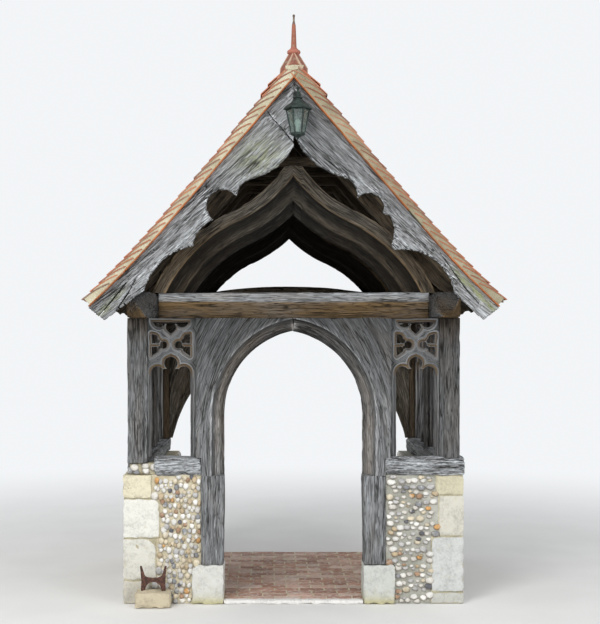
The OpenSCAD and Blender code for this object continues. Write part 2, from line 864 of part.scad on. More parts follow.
// A six-sided cage that hangs from the bracket by its stem
module lantern_frame() {
    ring_h = 10;
    pan_h = 14;
    drop_h = 36;
    stem_r = 6;
    fall = (lantern_top_r - lantern_foot_r) - lantern_bar / 2;
    tilt = atan(fall / lantern_h);
    color("darkslategray") at_lantern() {
        translate([0, 0, lantern_z - pan_h]) cylinder(h = pan_h, r = lantern_foot_r, $fn = 6);
        translate([0, 0, lantern_z - pan_h - drop_h])
            cylinder(h = drop_h, r1 = stem_r, r2 = lantern_foot_r / 2);
        translate([0, 0, lantern_top_z]) cylinder(h = ring_h, r = lantern_cap_r, $fn = 6);
        translate([0, 0, lantern_top_z + ring_h])
            cylinder(h = lantern_cap_h - ring_h, r1 = lantern_top_r, r2 = stem_r * 3, $fn = 6);
        translate([0, 0, lantern_top_z + lantern_cap_h])
            cylinder(h = lantern_stem_h, r = stem_r);
        for (i = [0:5]) rotate([0, 0, 60 * i])
            translate([lantern_foot_r - lantern_bar, 0, lantern_z - 1]) rotate([0, tilt, 0])
                cylinder(h = (lantern_h + 3) / cos(tilt), d = lantern_bar);
    }
}
// An arm on a plate that is fixed to the bargeboards
module lantern_bracket() {
    plate_size = [50, 8, 150];
    face_y = -plate_reach - barge_t;
    plate_top = lantern_arm_z + 2 * lantern_arm;
    color("darkslategray") {
        block([lantern_x - lantern_arm / 2, -lantern_y - lantern_arm, lantern_arm_z],
            [lantern_x + lantern_arm / 2, face_y, lantern_arm_z + lantern_arm]);
        block([lantern_x - plate_size[0] / 2, face_y - plate_size[1], plate_top - plate_size[2]],
            [lantern_x + plate_size[0] / 2, face_y, plate_top]);
        at_lantern() translate([0, 0, lantern_arm_z + lantern_arm])
            cylinder(h = lantern_knob_r * 2, r1 = lantern_knob_r * 0.6, r2 = lantern_knob_r);
    }
}
// Six leaning panes, one between each pair of corner bars
module lantern_glass() {
    apothem = cos(30);
    low = (lantern_foot_r - lantern_bar) * apothem;
    high = (lantern_top_r - lantern_bar * 1.5) * apothem;
    tilt = atan((high - low) / lantern_h);
    edge = lantern_bar * 0.75;
    side_low = low * tan(30) - edge;
    side_high = high * tan(30) - edge;
    length = lantern_h / cos(tilt) - glass_t * sin(tilt);
    color("lightcyan", 0.4) at_lantern() for (i = [0:5]) rotate([0, 0, 60 * i + 30])
        translate([low, 0, lantern_z]) rotate([0, tilt, 0]) rotate([90, 0, 90])
            linear_extrude(glass_t) polygon([[-side_low, 0], [side_low, 0],
                [side_high, length], [-side_high, length]]);
}
module lantern_bulb() {
    holder_r = 14;
    holder_h = 45;
    bulb_r = 27;
    color("ivory") at_lantern() translate([0, 0, lantern_z]) {
        cylinder(h = holder_h + bulb_r, r = holder_r);
        translate([0, 0, holder_h + bulb_r * 1.8]) sphere(bulb_r);
        translate([0, 0, holder_h]) cylinder(h = bulb_r * 1.2, r1 = holder_r, r2 = bulb_r * 0.8);
    }
}

placed() front_wall_left();
placed() front_wall_right();
placed() side_wall_left();
placed() side_wall_right();
placed() quoins_left();
placed() quoins_right();
placed() door_stone_left();
placed() door_stone_right();
placed() porch_floor();
placed() floor_kerb();
placed() boot_scraper_stone();
placed() boot_scraper();
placed() sill_front_left();
placed() sill_front_right();
placed() side_sills();
placed() corner_post_left();
placed() corner_post_right();
placed() mid_posts();
placed() rear_posts();
placed() door_post_left();
placed() door_post_right();
placed() door_arch_left();
placed() door_arch_right();
placed() front_light_left();
placed() front_light_right();
placed() side_lights_left();
placed() side_lights_right();
placed() front_tie_beam();
placed() rear_tie_beam();
placed() wall_plate_left();
placed() wall_plate_right();
placed() ogee_brace_front_left();
placed() ogee_brace_front_right();
placed() ogee_brace_rear_left();
placed() ogee_brace_rear_right();
placed() rear_arch_left();
placed() rear_arch_right();
placed() rafters_left();
placed() rafters_right();
placed() collars();
placed() bargeboard_left();
placed() bargeboard_right();
placed() bargeboard_patch();
placed() roof_tiles_left();
placed() roof_tiles_right();
placed() ridge_tiles();
placed() finial();
placed() lantern_frame();
placed() lantern_bracket();
placed() lantern_glass();
placed() lantern_bulb();
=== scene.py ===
"""Dresses the timber-framed porch: worn oak, hand-made tiles, flint walls, stone and a lantern."""

import math

import bmesh
import bpy
import mathutils
import numpy as np
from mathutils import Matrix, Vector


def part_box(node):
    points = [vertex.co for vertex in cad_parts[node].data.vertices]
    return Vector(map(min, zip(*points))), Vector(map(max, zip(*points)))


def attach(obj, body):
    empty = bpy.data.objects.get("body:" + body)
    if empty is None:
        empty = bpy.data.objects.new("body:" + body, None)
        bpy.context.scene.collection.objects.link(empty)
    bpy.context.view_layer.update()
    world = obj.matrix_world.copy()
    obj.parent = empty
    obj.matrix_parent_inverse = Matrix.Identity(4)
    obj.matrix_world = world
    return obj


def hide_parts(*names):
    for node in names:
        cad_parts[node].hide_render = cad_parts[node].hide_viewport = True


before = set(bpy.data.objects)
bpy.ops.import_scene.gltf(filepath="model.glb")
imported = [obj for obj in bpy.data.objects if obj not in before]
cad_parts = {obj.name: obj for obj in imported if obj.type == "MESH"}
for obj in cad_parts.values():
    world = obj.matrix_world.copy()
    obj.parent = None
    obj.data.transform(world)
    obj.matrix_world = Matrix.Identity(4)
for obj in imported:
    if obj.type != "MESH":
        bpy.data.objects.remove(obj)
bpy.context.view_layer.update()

# Sizes from the frame, in metres, with y counted from the front frame's face
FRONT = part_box("corner_post_left")[0].y


def local_box(node):
    """The lowest and highest corner of a CAD node, with y from the front frame's face."""
    shift = np.array([0, FRONT, 0])
    return tuple(np.array(corner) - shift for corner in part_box(node))


(post_in, _, sill_top), (post_out, post_d, post_top) = local_box("corner_post_right")
left_post_foot = local_box("corner_post_left")[0][2]
(_, _, wall_h), (wall_out, sill_d, _) = local_box("sill_front_right")
sill_end = -local_box("sill_front_left")[0][0]
(_, flint_face, _), (_, wall_back, _) = local_box("front_wall_right")
side_wall_in = local_box("side_wall_right")[0][0]
(door_half, _, door_stone_h), (door_post_out, _, scarf_z) = local_box("door_post_right")
(_, stone_front, _), (stone_out, _, _) = local_box("door_stone_right")
arch_out, arch_d, _ = local_box("door_arch_right")[1]
(plate_in, plate_front, _), (plate_out, porch_depth, tie_top) = local_box("wall_plate_right")
rear_y = local_box("rear_posts")[0][1]
(_, mid_front, _), (_, mid_back, _) = local_box("mid_posts")
light_front = local_box("front_light_right")[0][1]
side_light_x = local_box("side_lights_right")[0][0]
(_, barge_front, _), (_, barge_back, _) = local_box("bargeboard_right")
(_, verge_y, _), (eaves_x, _, ridge_z) = local_box("roof_tiles_right")
(_, _, collar_foot), (_, _, collar_top) = local_box("collars")
floor_top = local_box("porch_floor")[1][2]
kerb_back = local_box("floor_kerb")[1][1]

# The roof's curve: straight from the ridge, then an arc that flattens to the eaves
PITCH, EAVES_PITCH = math.radians(49.3), math.radians(43)
TILE_BED = 0.09
FLARE_IN = 0.29
flare_x = post_out - FLARE_IN
flare_z = ridge_z - flare_x * math.tan(PITCH)
flare_r = (eaves_x - flare_x) / (math.sin(PITCH) - math.sin(EAVES_PITCH))
straight_length = flare_x / math.cos(PITCH)
slope_length = straight_length + flare_r * (PITCH - EAVES_PITCH)
SLOPE_DOWN = np.array([math.cos(PITCH), -math.sin(PITCH)])
SLOPE_OUT = np.array([math.sin(PITCH), math.cos(PITCH)])
flare_centre = np.array([flare_x, flare_z]) + flare_r * SLOPE_OUT


def roof_point(along, drop):
    """Points (x, z) on the right slope, along metres from the ridge and drop metres under the tiles."""
    along, drop = np.broadcast_arrays(np.asarray(along, float), np.asarray(drop, float))
    angle = PITCH - np.clip(along - straight_length, 0, None) / flare_r
    back = np.clip(straight_length - along, 0, None)
    out = np.stack([np.sin(angle), np.cos(angle)], -1)
    return flare_centre - (flare_r + drop)[..., None] * out - back[..., None] * SLOPE_DOWN


def roof_place(across, depth):
    """The place along the slope and the drop below it of points across and depth from the ridge."""
    across, depth = np.asarray(across, float), np.asarray(depth, float)
    along = across * math.cos(PITCH) + depth * math.sin(PITCH)
    drop = depth * math.cos(PITCH) - across * math.sin(PITCH)
    from_x, from_z = flare_centre[0] - across, flare_centre[1] - (ridge_z - depth)
    angle = np.arctan2(from_x, from_z)
    flared = along > straight_length
    along = np.where(flared, straight_length + (PITCH - angle) * flare_r, along)
    return np.stack([along, np.where(flared, np.hypot(from_x, from_z) - flare_r, drop)], -1)


# Shape helpers

def seed_of(name):
    """A seed for a piece's random draws, the same in every run."""
    return sum(ord(letter) * (place + 1) for place, letter in enumerate(name))


def ray_at(angle):
    """The unit direction at an angle, in the last axis."""
    return np.stack([np.cos(angle), np.sin(angle)], -1)


def hump(values, centre, width):
    """1 at the centre, falling off smoothly within about a width."""
    return np.exp(-((values - centre) / width)**2)


def growth(values, start, length, least=0):
    """Grows from 0 at the start to 1 a length further, and never falls under least."""
    return np.clip((values - start) / length, least, 1)


def unit(vectors):
    """The vectors in the last axis, made one unit long."""
    return vectors / np.maximum(np.linalg.norm(vectors, axis=-1, keepdims=True), 1e-9)


def noise(points, seed, layers=2, wave=1, depth=1):
    """Smooth noise of about a depth up and down, with waves about a length long on each axis."""
    points = points / np.array(wave)
    rng = np.random.default_rng(seed)
    total = np.zeros(len(points))
    for layer in range(layers):
        for _ in range(7):
            way = rng.normal(size=3)
            way *= 2 * np.pi * 2**layer * rng.uniform(0.6, 1.2) / np.linalg.norm(way)
            total += np.sin(points @ way + rng.uniform(0, 7)) * 0.5**layer
    return total / 3.5 * depth


def rounded(corners, radius, spacing):
    """A closed outline with its corners rounded and its sides cut into steps of about spacing."""
    corners = np.asarray(corners, float)
    line = []
    most = 0.45
    for here, before, after in zip(corners, np.roll(corners, 1, 0), np.roll(corners, -1, 0)):
        to_before = np.linalg.norm(before - here)
        to_after = np.linalg.norm(after - here)
        reach = min(radius, to_before * most, to_after * most)
        start = here + (before - here) * reach / to_before
        end = here + (after - here) * reach / to_after
        line += [start, (start + 2 * here + end) / 4, end]
    full = []
    for here, after in zip(line, line[1:] + line[:1]):
        steps = max(1, round(np.linalg.norm(after - here) / spacing))
        full += [here + (after - here) * k / steps for k in range(steps)]
    return np.array(full)


def stations(start, end, step):
    """Even places from start to end, about a step apart."""
    return np.linspace(start, end, max(2, round(abs(end - start) / step) + 1))


AXES = {"x": (0, 1, 2), "y": (1, 0, 2), "z": (2, 0, 1)}


def prism(outline, axis, start, end, step=0.045):
    """Rings of an outline along an axis. The outline's points are in the other two axes' order."""
    main, first, second = AXES[axis]
    places = stations(start, end, step)
    rings = np.zeros((len(places), len(outline), 3))
    rings[:, :, main] = places[:, None]
    rings[:, :, [first, second]] = outline
    return rings


def round_ends(rings, radius=0.006):
    """Adds smaller rings at both ends, so that the end faces have soft edges."""
    def softened(ring, next_ring):
        middle = ring.mean(0)
        away = ring - middle
        length = np.linalg.norm(away, axis=1, keepdims=True)
        way = unit(next_ring.mean(0) - middle) * radius
        rims = [middle + away * (1 - reach * radius / length) + way * inward
                for reach, inward in ((3, 0), (1, 0), (0.3, 0.3))]
        return rims, ring + way

    first, start = softened(rings[0], rings[1])
    last, end = softened(rings[-1], rings[-2])
    return np.concatenate([first, [start], rings[1:-1], [end], last[::-1]])


def tube_faces(count, around):
    """Faces of a closed tube of count rings with around points each, with a cap at both ends."""
    ring = np.arange(around)
    after = np.roll(ring, -1)
    base = np.arange(count - 1)[:, None] * around
    sides = np.stack([base + ring, base + after, base + around + after, base + around + ring], -1)
    return [sides.reshape(-1, 4), ring[::-1][None, :], (ring + (count - 1) * around)[None, :]]


def skin(rings):
    """The points and faces of a closed tube through rings."""
    return rings.reshape(-1, 3), tube_faces(*rings.shape[:2])


def box_grid(counts):
    """Points of a unit box's surface, cut into counts cells along the axes, and its faces."""
    counts = np.array(counts, int)
    grid = np.stack(np.meshgrid(*[np.arange(n + 1) for n in counts], indexing="ij"), -1)
    surface = ((grid == 0) | (grid == counts)).any(-1)
    number = np.full(surface.shape, -1)
    number[surface] = np.arange(surface.sum())
    faces = []
    for axis in range(3):
        for side in (0, -1):
            layer = np.take(number, side, axis)
            quads = np.stack([layer[:-1, :-1], layer[1:, :-1], layer[1:, 1:], layer[:-1, 1:]], -1)
            outward = (side == -1) == (axis != 1)
            faces.append(quads.reshape(-1, 4) if outward else quads.reshape(-1, 4)[:, ::-1])
    return grid[surface] / counts, np.concatenate(faces)


def repeated(faces, points_each, copies):
    """The faces of copies of one shape, whose points follow each other."""
    return (faces[None] + np.arange(copies)[:, None, None] * points_each).reshape(-1, faces.shape[1])


WEAR_WAVE = 0.09


def worn_box(low, high, radius, cell, seed, rough=0.004):
    """A block with worn edges and an uneven surface."""
    low, high = np.array(low, float), np.array(high, float)
    size = high - low
    share, faces = box_grid(np.maximum(np.round(size / cell), 2))
    points = low + share * size
    reach = radius * (1 + noise(points, seed, wave=WEAR_WAVE, depth=0.7))
    reach = np.clip(reach, radius * 0.25, size.min() * 0.45)[:, None]
    core = np.clip(points, low + reach, high - reach)
    dent = rough * (noise(points, seed + 1, layers=3, wave=WEAR_WAVE) - 0.6)[:, None]
    return core + unit(points - core) * (reach + dent), faces


def spread(value, points):
    """A layer's value for every point, from one value, a value for each or a function of the points."""
    value = np.asarray(value(points) if callable(value) else value, float)
    if value.ndim == 0 or (value.ndim == 1 and len(value) != len(points)):
        value = np.broadcast_to(value, (len(points),) + value.shape)
    return value


class Shape:
    """Gathers points and faces of several closed solids, with layers of values for the points."""

    def __init__(self):
        self.points, self.faces, self.layers, self.count = [], [], {}, 0

    def add(self, points, faces, **layers):
        for group in faces if isinstance(faces, list) else [faces]:
            self.faces.append(np.asarray(group) + self.count)
        for name, value in layers.items():
            self.layers.setdefault(name, []).append(spread(value, points))
        self.points.append(points)
        self.count += len(points)

    def block(self, low, high, radius, cell, seed, rough=0.004, side=1, shaped=None, **layers):
        """Adds a worn box that is drawn on the right and stands on a side. shaped changes its points."""
        points, faces = worn_box(low, high, radius, cell, seed, rough)
        points = shaped(points) if shaped else points
        self.add(points * [side, 1, 1], faces, **layers)

    def build(self, name, material, slot, nodes=None, smooth=50):
        layers = {key: np.concatenate(values) for key, values in self.layers.items()}
        return build(name, np.concatenate(self.points), self.faces, material, slot, nodes, smooth, **layers)


ATTRIBUTES = {1: ("FLOAT", "value"), 3: ("FLOAT_VECTOR", "vector"), 4: ("FLOAT_COLOR", "color")}


def build(name, points, faces, material, slot, nodes=None, smooth=45, wear=None, **layers):
    """Makes a closed mesh that rides on the porch and carries layers of values for its points.

    It replaces the CAD node of its own name unless nodes names others. wear moves its surface out."""
    layers = {key: spread(value, points) for key, value in layers.items()}
    mesh = bpy.data.meshes.new(name)
    sizes = np.concatenate([np.full(len(group), group.shape[1]) for group in faces])
    loops = np.concatenate([group.ravel() for group in faces])
    mesh.vertices.add(len(points))
    mesh.vertices.foreach_set("co", points.astype(np.float32).ravel())
    mesh.loops.add(len(loops))
    mesh.loops.foreach_set("vertex_index", loops.astype(np.int32))
    mesh.polygons.add(len(sizes))
    mesh.polygons.foreach_set("loop_start", np.concatenate([[0], np.cumsum(sizes)[:-1]]).astype(np.int32))
    mesh.update(calc_edges=True)
    faced = bmesh.new()
    faced.from_mesh(mesh)
    bmesh.ops.recalc_face_normals(faced, faces=faced.faces)
    faced.to_mesh(mesh)
    faced.free()
    if wear is not None:
        normals = np.zeros(len(points) * 3, np.float32)
        mesh.vertex_normals.foreach_get("vector", normals)
        points = points + normals.reshape(-1, 3) * wear[:, None]
    moved = points + np.array([0, FRONT, 0])
    mesh.vertices.foreach_set("co", moved.astype(np.float32).ravel())
    for key, values in layers.items():
        if key == "tint":
            values = np.column_stack([values, np.ones(len(values))])
        kind, field = ATTRIBUTES[values.size // len(values)]
        mesh.attributes.new(key, kind, "POINT").data.foreach_set(field, values.astype(np.float32).ravel())
    mesh.shade_smooth()
    mesh.set_sharp_from_angle(angle=math.radians(smooth))
    mesh.materials.append(material)
    mesh.update()
    piece = bpy.data.objects.new(name, mesh)
    bpy.context.scene.collection.objects.link(piece)
    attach(piece, "root")
    nodes = [name] if nodes is None else nodes
    if nodes:
        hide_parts(*nodes)
    return piece


# Materials

class Graph:
    """Adds and joins the nodes of a tree."""

    def __init__(self, tree):
        self.tree = tree

    def node(self, kind, inputs, output, **settings):
        node = self.tree.nodes.new(kind)
        for key, value in settings.items():
            setattr(node, key, value)
        for key, value in inputs.items():
            self.feed(node.inputs[key], value)
        return node.outputs[output]

    def feed(self, socket, value):
        if isinstance(value, bpy.types.NodeSocket):
            self.tree.links.new(value, socket)
        else:
            socket.default_value = value

    def layer(self, name, output="Fac"):
        return self.node("ShaderNodeAttribute", {}, output, attribute_name=name)

    def place(self):
        return self.node("ShaderNodeTexCoord", {}, "Object")

    def vector(self, operation, first, second=(0, 0, 0), output=0):
        return self.node("ShaderNodeVectorMath", {0: first, 1: second}, output, operation=operation)

    def noise(self, vector, scale=1.0, detail=3.0, roughness=0.5, output=0):
        """Noise on a vector. The scale is one number, or one for each axis."""
        if isinstance(scale, tuple):
            vector, scale = self.vector("MULTIPLY", vector, scale), 1.0
        inputs = {"Vector": vector, "Scale": scale, "Detail": detail, "Roughness": roughness}
        return self.node("ShaderNodeTexNoise", inputs, output)

    def wobble(self, vector, scale, reach):
        """The vector, pushed about by smooth noise, so that straight lines in it turn wavy."""
        push = self.vector("SUBTRACT", self.noise(vector, scale, detail=2, output=1), (0.5, 0.5, 0.5))
        return self.vector("ADD", vector, self.vector("MULTIPLY", push, reach))

    def maths(self, operation, first, second=0.0, clamp=False):
        return self.node("ShaderNodeMath", {0: first, 1: second}, 0, operation=operation, use_clamp=clamp)

    def times(self, first, second):
        return self.maths("MULTIPLY", first, second)

    def total(self, *parts):
        """The sum of values. A part may be a pair, the value and what it is multiplied by."""
        parts = [self.times(*part) if isinstance(part, tuple) else part for part in parts]
        total = parts[0]
        for part in parts[1:]:
            total = self.maths("ADD", total, part)
        return total

    def off_middle(self, value):
        """How far a noise is from its middle value."""
        return self.maths("ABSOLUTE", self.maths("SUBTRACT", value, 0.5))

    def stretch(self, value, low, high, to_low=0.0, to_high=1.0, **settings):
        inputs = {0: value, 1: low, 2: high, 3: to_low, 4: to_high}
        return self.node("ShaderNodeMapRange", inputs, 0, **settings)

    def mix(self, first, second, amount, blend="MIX"):
        inputs = {0: amount, 6: first, 7: second}
        return self.node("ShaderNodeMix", inputs, 2, data_type="RGBA", blend_type=blend)

    def ramp(self, value, *stops):
        node = self.tree.nodes.new("ShaderNodeValToRGB")
        self.feed(node.inputs[0], value)
        steps = node.color_ramp.elements
        while len(steps) < len(stops):
            steps.new(0.5)
        for step, (place, colour) in zip(steps, stops):
            step.position = place
            step.color = (*colour, 1)
        return node.outputs[0]

    def seen(self):
        """1 for what the camera sees, straight, mirrored or through glass, and 0 for other light."""
        path = self.tree.nodes.new("ShaderNodeLightPath").outputs
        indirect = self.maths("MAXIMUM", path["Is Glossy Ray"], path["Is Transmission Ray"])
        return self.maths("MAXIMUM", path["Is Camera Ray"], indirect)


class Material(Graph):
    """Builds the nodes of one material."""

    def __init__(self, name, roughness=0.8, specular=0.35):
        self.material = bpy.data.materials.new(name)
        self.material.use_nodes = True
        super().__init__(self.material.node_tree)
        self.shader = self.tree.nodes["Principled BSDF"]
        self.shader.inputs["Roughness"].default_value = roughness
        self.shader.inputs["Specular IOR Level"].default_value = specular

    def bump(self, height, distance, strength=1.0):
        inputs = {"Height": height, "Distance": distance, "Strength": strength}
        self.feed(self.shader.inputs["Normal"], self.node("ShaderNodeBump", inputs, 0))

    def finish(self, colour, roughness=None):
        self.feed(self.shader.inputs["Base Color"], colour)
        if roughness is not None:
            self.feed(self.shader.inputs["Roughness"], roughness)
        return self.material


def rgb(red, green, blue):
    """A colour written as it shows on screen, from 0 to 255, turned into linear light."""
    return tuple(((c / 255 + 0.055) / 1.055)**2.4 if c > 10 else c / 3294 for c in (red, green, blue))


MOSS, CRACK = rgb(146, 154, 106), rgb(20, 18, 15)


def oak_material(name, dark, middle, light, pale, brown):
    """Old oak with its grain along the grain layer's first axis.

    The shelter layer runs from -1, bare to the weather, to 1, kept brown by the roof. The tone
    layer multiplies a timber's colour with grime, painted shade in hollows and under the roof,
    and painted highlights along arrises and fillets."""
    g = Material(name, specular=0.2)
    grain = g.wobble(g.layer("grain", "Vector"), (1.1, 5, 5), (0.0, 0.03, 0.03))
    grain = g.wobble(grain, (7, 30, 30), (0.0, 0.004, 0.004))
    shelter = g.layer("shelter")
    exposed = g.stretch(shelter, -0.2, -1.0)
    broad = g.noise(grain, (1.6, 7, 7), 4, 0.6)
    streak = g.noise(grain, (8, 120, 120), 2, 0.55)
    hair = g.noise(grain, (10, 300, 300), 2, 0.6)
    band = g.noise(grain, (0.8, 22, 22))
    pits = g.noise(grain, (30, 80, 80), 3, 0.7)
    value = g.total((streak, 0.4), (hair, 0.26), (band, 0.2), (broad, 0.2))
    lively = g.maths("ADD", g.maths("SUBTRACT", value, 0.53), g.maths("SUBTRACT", pits, 0.5))
    value = g.total(value, (lively, g.times(exposed, 1.3)), (exposed, 0.04))
    where = g.stretch(g.noise(grain, (1.8, 10, 10), 2), 0.5, 0.58)
    split = g.times(g.stretch(g.off_middle(g.noise(grain, (2.2, 34, 34))), 0.012, 0.04, 1.0, 0.0), where)
    thread = g.stretch(g.off_middle(g.noise(grain, (5, 80, 80), 1)), 0.005, 0.032, 0.66, 0.0)
    split = g.maths("MAXIMUM", split, thread)
    colour = g.ramp(value, (0.39, dark), (0.505, middle), (0.6, light), (0.74, pale))
    warm = g.maths("ADD", shelter, g.stretch(broad, 0.35, 0.7, -0.2, 0.3), clamp=True)
    russet = g.ramp(value, (0.38, tuple(c * 0.5 for c in brown)), (0.7, brown))
    colour = g.mix(colour, russet, warm)
    colour = g.mix(colour, g.layer("tone"), 1.0, "MULTIPLY")
    patches = g.stretch(g.noise(grain, (12, 40, 40), 5, 0.7), 0.38, 0.56)
    colour = g.mix(colour, (*MOSS, 1), g.times(g.layer("moss"), patches))
    colour = g.mix(colour, (*CRACK, 1), g.times(split, 0.85))
    g.bump(g.maths("SUBTRACT", g.total(streak, (pits, 0.4)), split), 0.006)
    return g.finish(colour, g.stretch(value, 0.45, 0.75, 0.95, 0.75))


def stone_material(name, speck, grit_scale, bump_depth, stain, stain_share, roughness=0.85,
                   specular=0.3):
    """Stone, brick or tile: each block's own tint, with specks, stains and a pitted surface."""
    g = Material(name, roughness, specular)
    place = g.place()
    tint = g.layer("tint", "Color")
    cloud = g.noise(place, 9, 4, 0.6)
    grit = g.noise(place, grit_scale, 3, 0.7)
    shade = g.total(g.stretch(cloud, 0.3, 0.7, 0.8, 1.1), g.stretch(grit, 0.3, 0.7, -speck, speck))
    colour = g.mix(tint, g.ramp(shade, (0, (0, 0, 0)), (1, (1, 1, 1))), 1.0, "MULTIPLY")
    dirty = g.stretch(g.noise(place, 23, 5, 0.65), 0.62 - stain_share, 0.78 - stain_share)
    colour = g.mix(colour, (*stain, 1), g.times(dirty, 0.7))
    g.bump(g.total(grit, (cloud, 1.5)), bump_depth, 0.8)
    return g.finish(colour, g.stretch(grit, 0.3, 0.7, roughness - 0.12, min(1.0, roughness + 0.1)))


def mortar_material(name, pale, dark):
    """Lime mortar with coarse sand."""
    g = Material(name, 0.95, 0.2)
    place = g.place()
    cloud = g.noise(place, 6, 4)
    sand = g.noise(place, 160, 3, 0.7)
    g.bump(g.total(g.noise(place, 34), (sand, 0.3)), 0.012)
    return g.finish(g.ramp(g.total((sand, 0.6), (cloud, 0.5)), (0.40, dark), (0.68, pale)))


def metal_material(name, dark, pale, scale, roughness, metallic=0.0):
    """Old metal with blooms of rust or dust."""
    g = Material(name, roughness, 0.4)
    g.shader.inputs["Metallic"].default_value = metallic
    place = g.place()
    bloom = g.noise(place, scale, 5, 0.65)
    value = g.total((bloom, 0.8), (g.noise(place, scale * 9), 0.25))
    g.bump(value, 0.0015, 0.7)
    dull = g.stretch(bloom, 0.3, 0.7, roughness - 0.15, 0.95)
    return g.finish(g.ramp(value, (0.42, dark), (0.66, pale)), dull)


def glass_material():
    """Clear glass with dust on it."""
    g = Material("lantern_glass", 0.06, 0.5)
    g.shader.inputs["Transmission Weight"].default_value = 0.92
    g.shader.inputs["IOR"].default_value = 1.45
    dust = g.noise(g.place(), 45, 4)
    colour = g.ramp(dust, (0.3, rgb(196, 214, 208)), (0.8, rgb(232, 242, 238)))
    return g.finish(colour, g.stretch(dust, 0.3, 0.8, 0.03, 0.3))


def bulb_material():
    """A milky lamp bulb that is switched off."""
    g = Material("lamp_bulb", 0.3, 0.5)
    g.shader.inputs["Transmission Weight"].default_value = 0.15
    cloud = g.noise(g.place(), 30)
    return g.finish(g.ramp(cloud, (0.3, rgb(196, 222, 214)), (0.8, rgb(236, 242, 236))))


weathered_oak = oak_material("weathered_oak", dark=rgb(60, 59, 58), middle=rgb(134, 135, 136),
                             light=rgb(167, 170, 173), pale=rgb(220, 224, 228), brown=rgb(132, 108, 76))
inner_oak = oak_material("inner_oak", dark=rgb(28, 26, 23), middle=rgb(68, 64, 58),
                         light=rgb(94, 90, 82), pale=rgb(148, 143, 134), brown=rgb(92, 77, 58))
flint = stone_material("flint", speck=0.2, grit_scale=55, bump_depth=0.004, stain=rgb(236, 232, 222),
                       stain_share=0.08, roughness=0.55, specular=0.5)
limestone = stone_material("limestone", speck=0.16, grit_scale=48, bump_depth=0.004,
                           stain=rgb(202, 194, 164), stain_share=0.03)
brick = stone_material("brick_paving", speck=0.2, grit_scale=50, bump_depth=0.003,
                       stain=rgb(222, 212, 204), stain_share=0.13)
tile = stone_material("clay_tile", speck=0.16, grit_scale=60, bump_depth=0.003,
                      stain=rgb(156, 146, 124), stain_share=0.08)
mortar = mortar_material("lime_mortar", rgb(232, 224, 200), rgb(188, 176, 146))
grey_mortar = mortar_material("grey_mortar", rgb(196, 195, 186), rgb(142, 140, 128))
roof_mortar = mortar_material("verge_mortar", rgb(216, 210, 186), rgb(162, 152, 124))
shaded_mortar = mortar_material("shaded_verge_mortar", rgb(178, 170, 146), rgb(130, 120, 96))
iron = metal_material("rusty_iron", rgb(50, 34, 30), rgb(112, 78, 66), scale=40, roughness=0.85)
lantern_metal = metal_material("lantern_metal", rgb(22, 30, 28), rgb(72, 86, 80), scale=30, roughness=0.6,
                               metallic=0.4)


# Timber

SIDES = ((-1, "left"), (1, "right"))
MID_POST_T, COMMON_COUNT, RAFTER_W = 0.14, 3, 0.1
# Wear: waves along and across the grain, and their depth, in metres
SWAY = {"wave": (1.1, 0.5, 0.5), "depth": 0.003}
FURROW = {"wave": (0.35, 0.03, 0.03), "depth": 0.0013}
CHIP = {"wave": (0.12, 0.05, 0.05)}
CHIP_DEPTH, SHARP_TURN = 0.006, 0.3


def dress(name, points, faces, grain, nodes=None, inner=False, shelter=0.0, tone=1.0, moss=0.0, **made):
    """Builds an oak piece. shelter, tone and moss are values, or functions of the points."""
    slot = "inner_oak" if inner else "weathered_oak"
    shift = np.random.default_rng(seed_of(name)).uniform(0, 30, 3)
    return build(name, points, faces, inner_oak if inner else weathered_oak, slot, nodes,
                 grain=grain + shift, shelter=shelter, tone=tone, moss=moss, **made)


def timber(name, rings, nodes=None, across=(0, 1, 0), wear=1.0, ends=0.006, grain_of=None, **look):
    """A worn oak member through rings of points, with its grain along the rings' middle line.

    grain_of gives other grain coordinates for the points, where the grain runs another way."""
    seed = seed_of(name)
    middle = rings.mean(1)
    along = np.concatenate([[0], np.cumsum(np.linalg.norm(np.diff(middle, axis=0), axis=1))])
    way = unit(np.gradient(middle, axis=0))
    deep = unit(np.array(across, float) - (way @ np.array(across, float))[:, None] * way)
    aside = np.cross(way, deep)
    if ends:
        rings = round_ends(rings, ends)
        along, middle, deep, aside = (np.concatenate([v[[0, 0, 0]], v, v[[-1, -1, -1]]])
                                      for v in (along, middle, deep, aside))
    points, faces = skin(rings)
    if grain_of:
        grain = grain_of(points)
    else:
        offset = rings - middle[:, None]
        lateral = (offset * aside[:, None]).sum(-1)
        depth = (offset * deep[:, None]).sum(-1)
        grain = np.stack([np.broadcast_to(along[:, None], lateral.shape), lateral, depth], -1).reshape(-1, 3)
    edge = unit(rings - np.roll(rings, 1, 1))
    turn = np.arccos(np.clip((edge * np.roll(edge, -1, 1)).sum(-1), -1, 1))
    corner = np.clip(turn / SHARP_TURN, 0, 1).ravel()
    chip = corner * np.clip(noise(grain, seed + 2, **CHIP) + 0.2, 0, None) * CHIP_DEPTH
    relief = noise(grain, seed, **SWAY) + noise(grain, seed + 1, **FURROW) - chip
    return dress(name, points, faces, grain, nodes, wear=relief * wear, **look)


def rectangle(low, high, radius=0.008, spacing=0.014):
    """A rectangle with rounded corners, between two opposite corners."""
    return rounded([low, (high[0], low[1]), high, (low[0], high[1])], radius, spacing)


def on_side(side, rings):
    """Rings that are drawn on the right, put on the given side: 1 is right and -1 is left."""
    return rings * [side, 1, 1]


def member(name, side, outline, axis, start, end, step=0.045, **look):
    """A straight timber on a side: an outline drawn along an axis."""
    timber(name, on_side(side, prism(outline, axis, start, end, step)), **look)


def arc(centre, radius, start, end, steps):
    """Points on an arc between two angles."""
    return np.array(centre) + radius * ray_at(np.linspace(start, end, steps + 1))


def under_tie(tone, least=1.0):
    """A tone that is darkest under the tie beam and clears towards the sills: grime, with painted shade from
    the roof above.
    """
    return lambda points: tone * (least + (1.15 - least) * growth(post_top - points[:, 2], 0, 0.9))


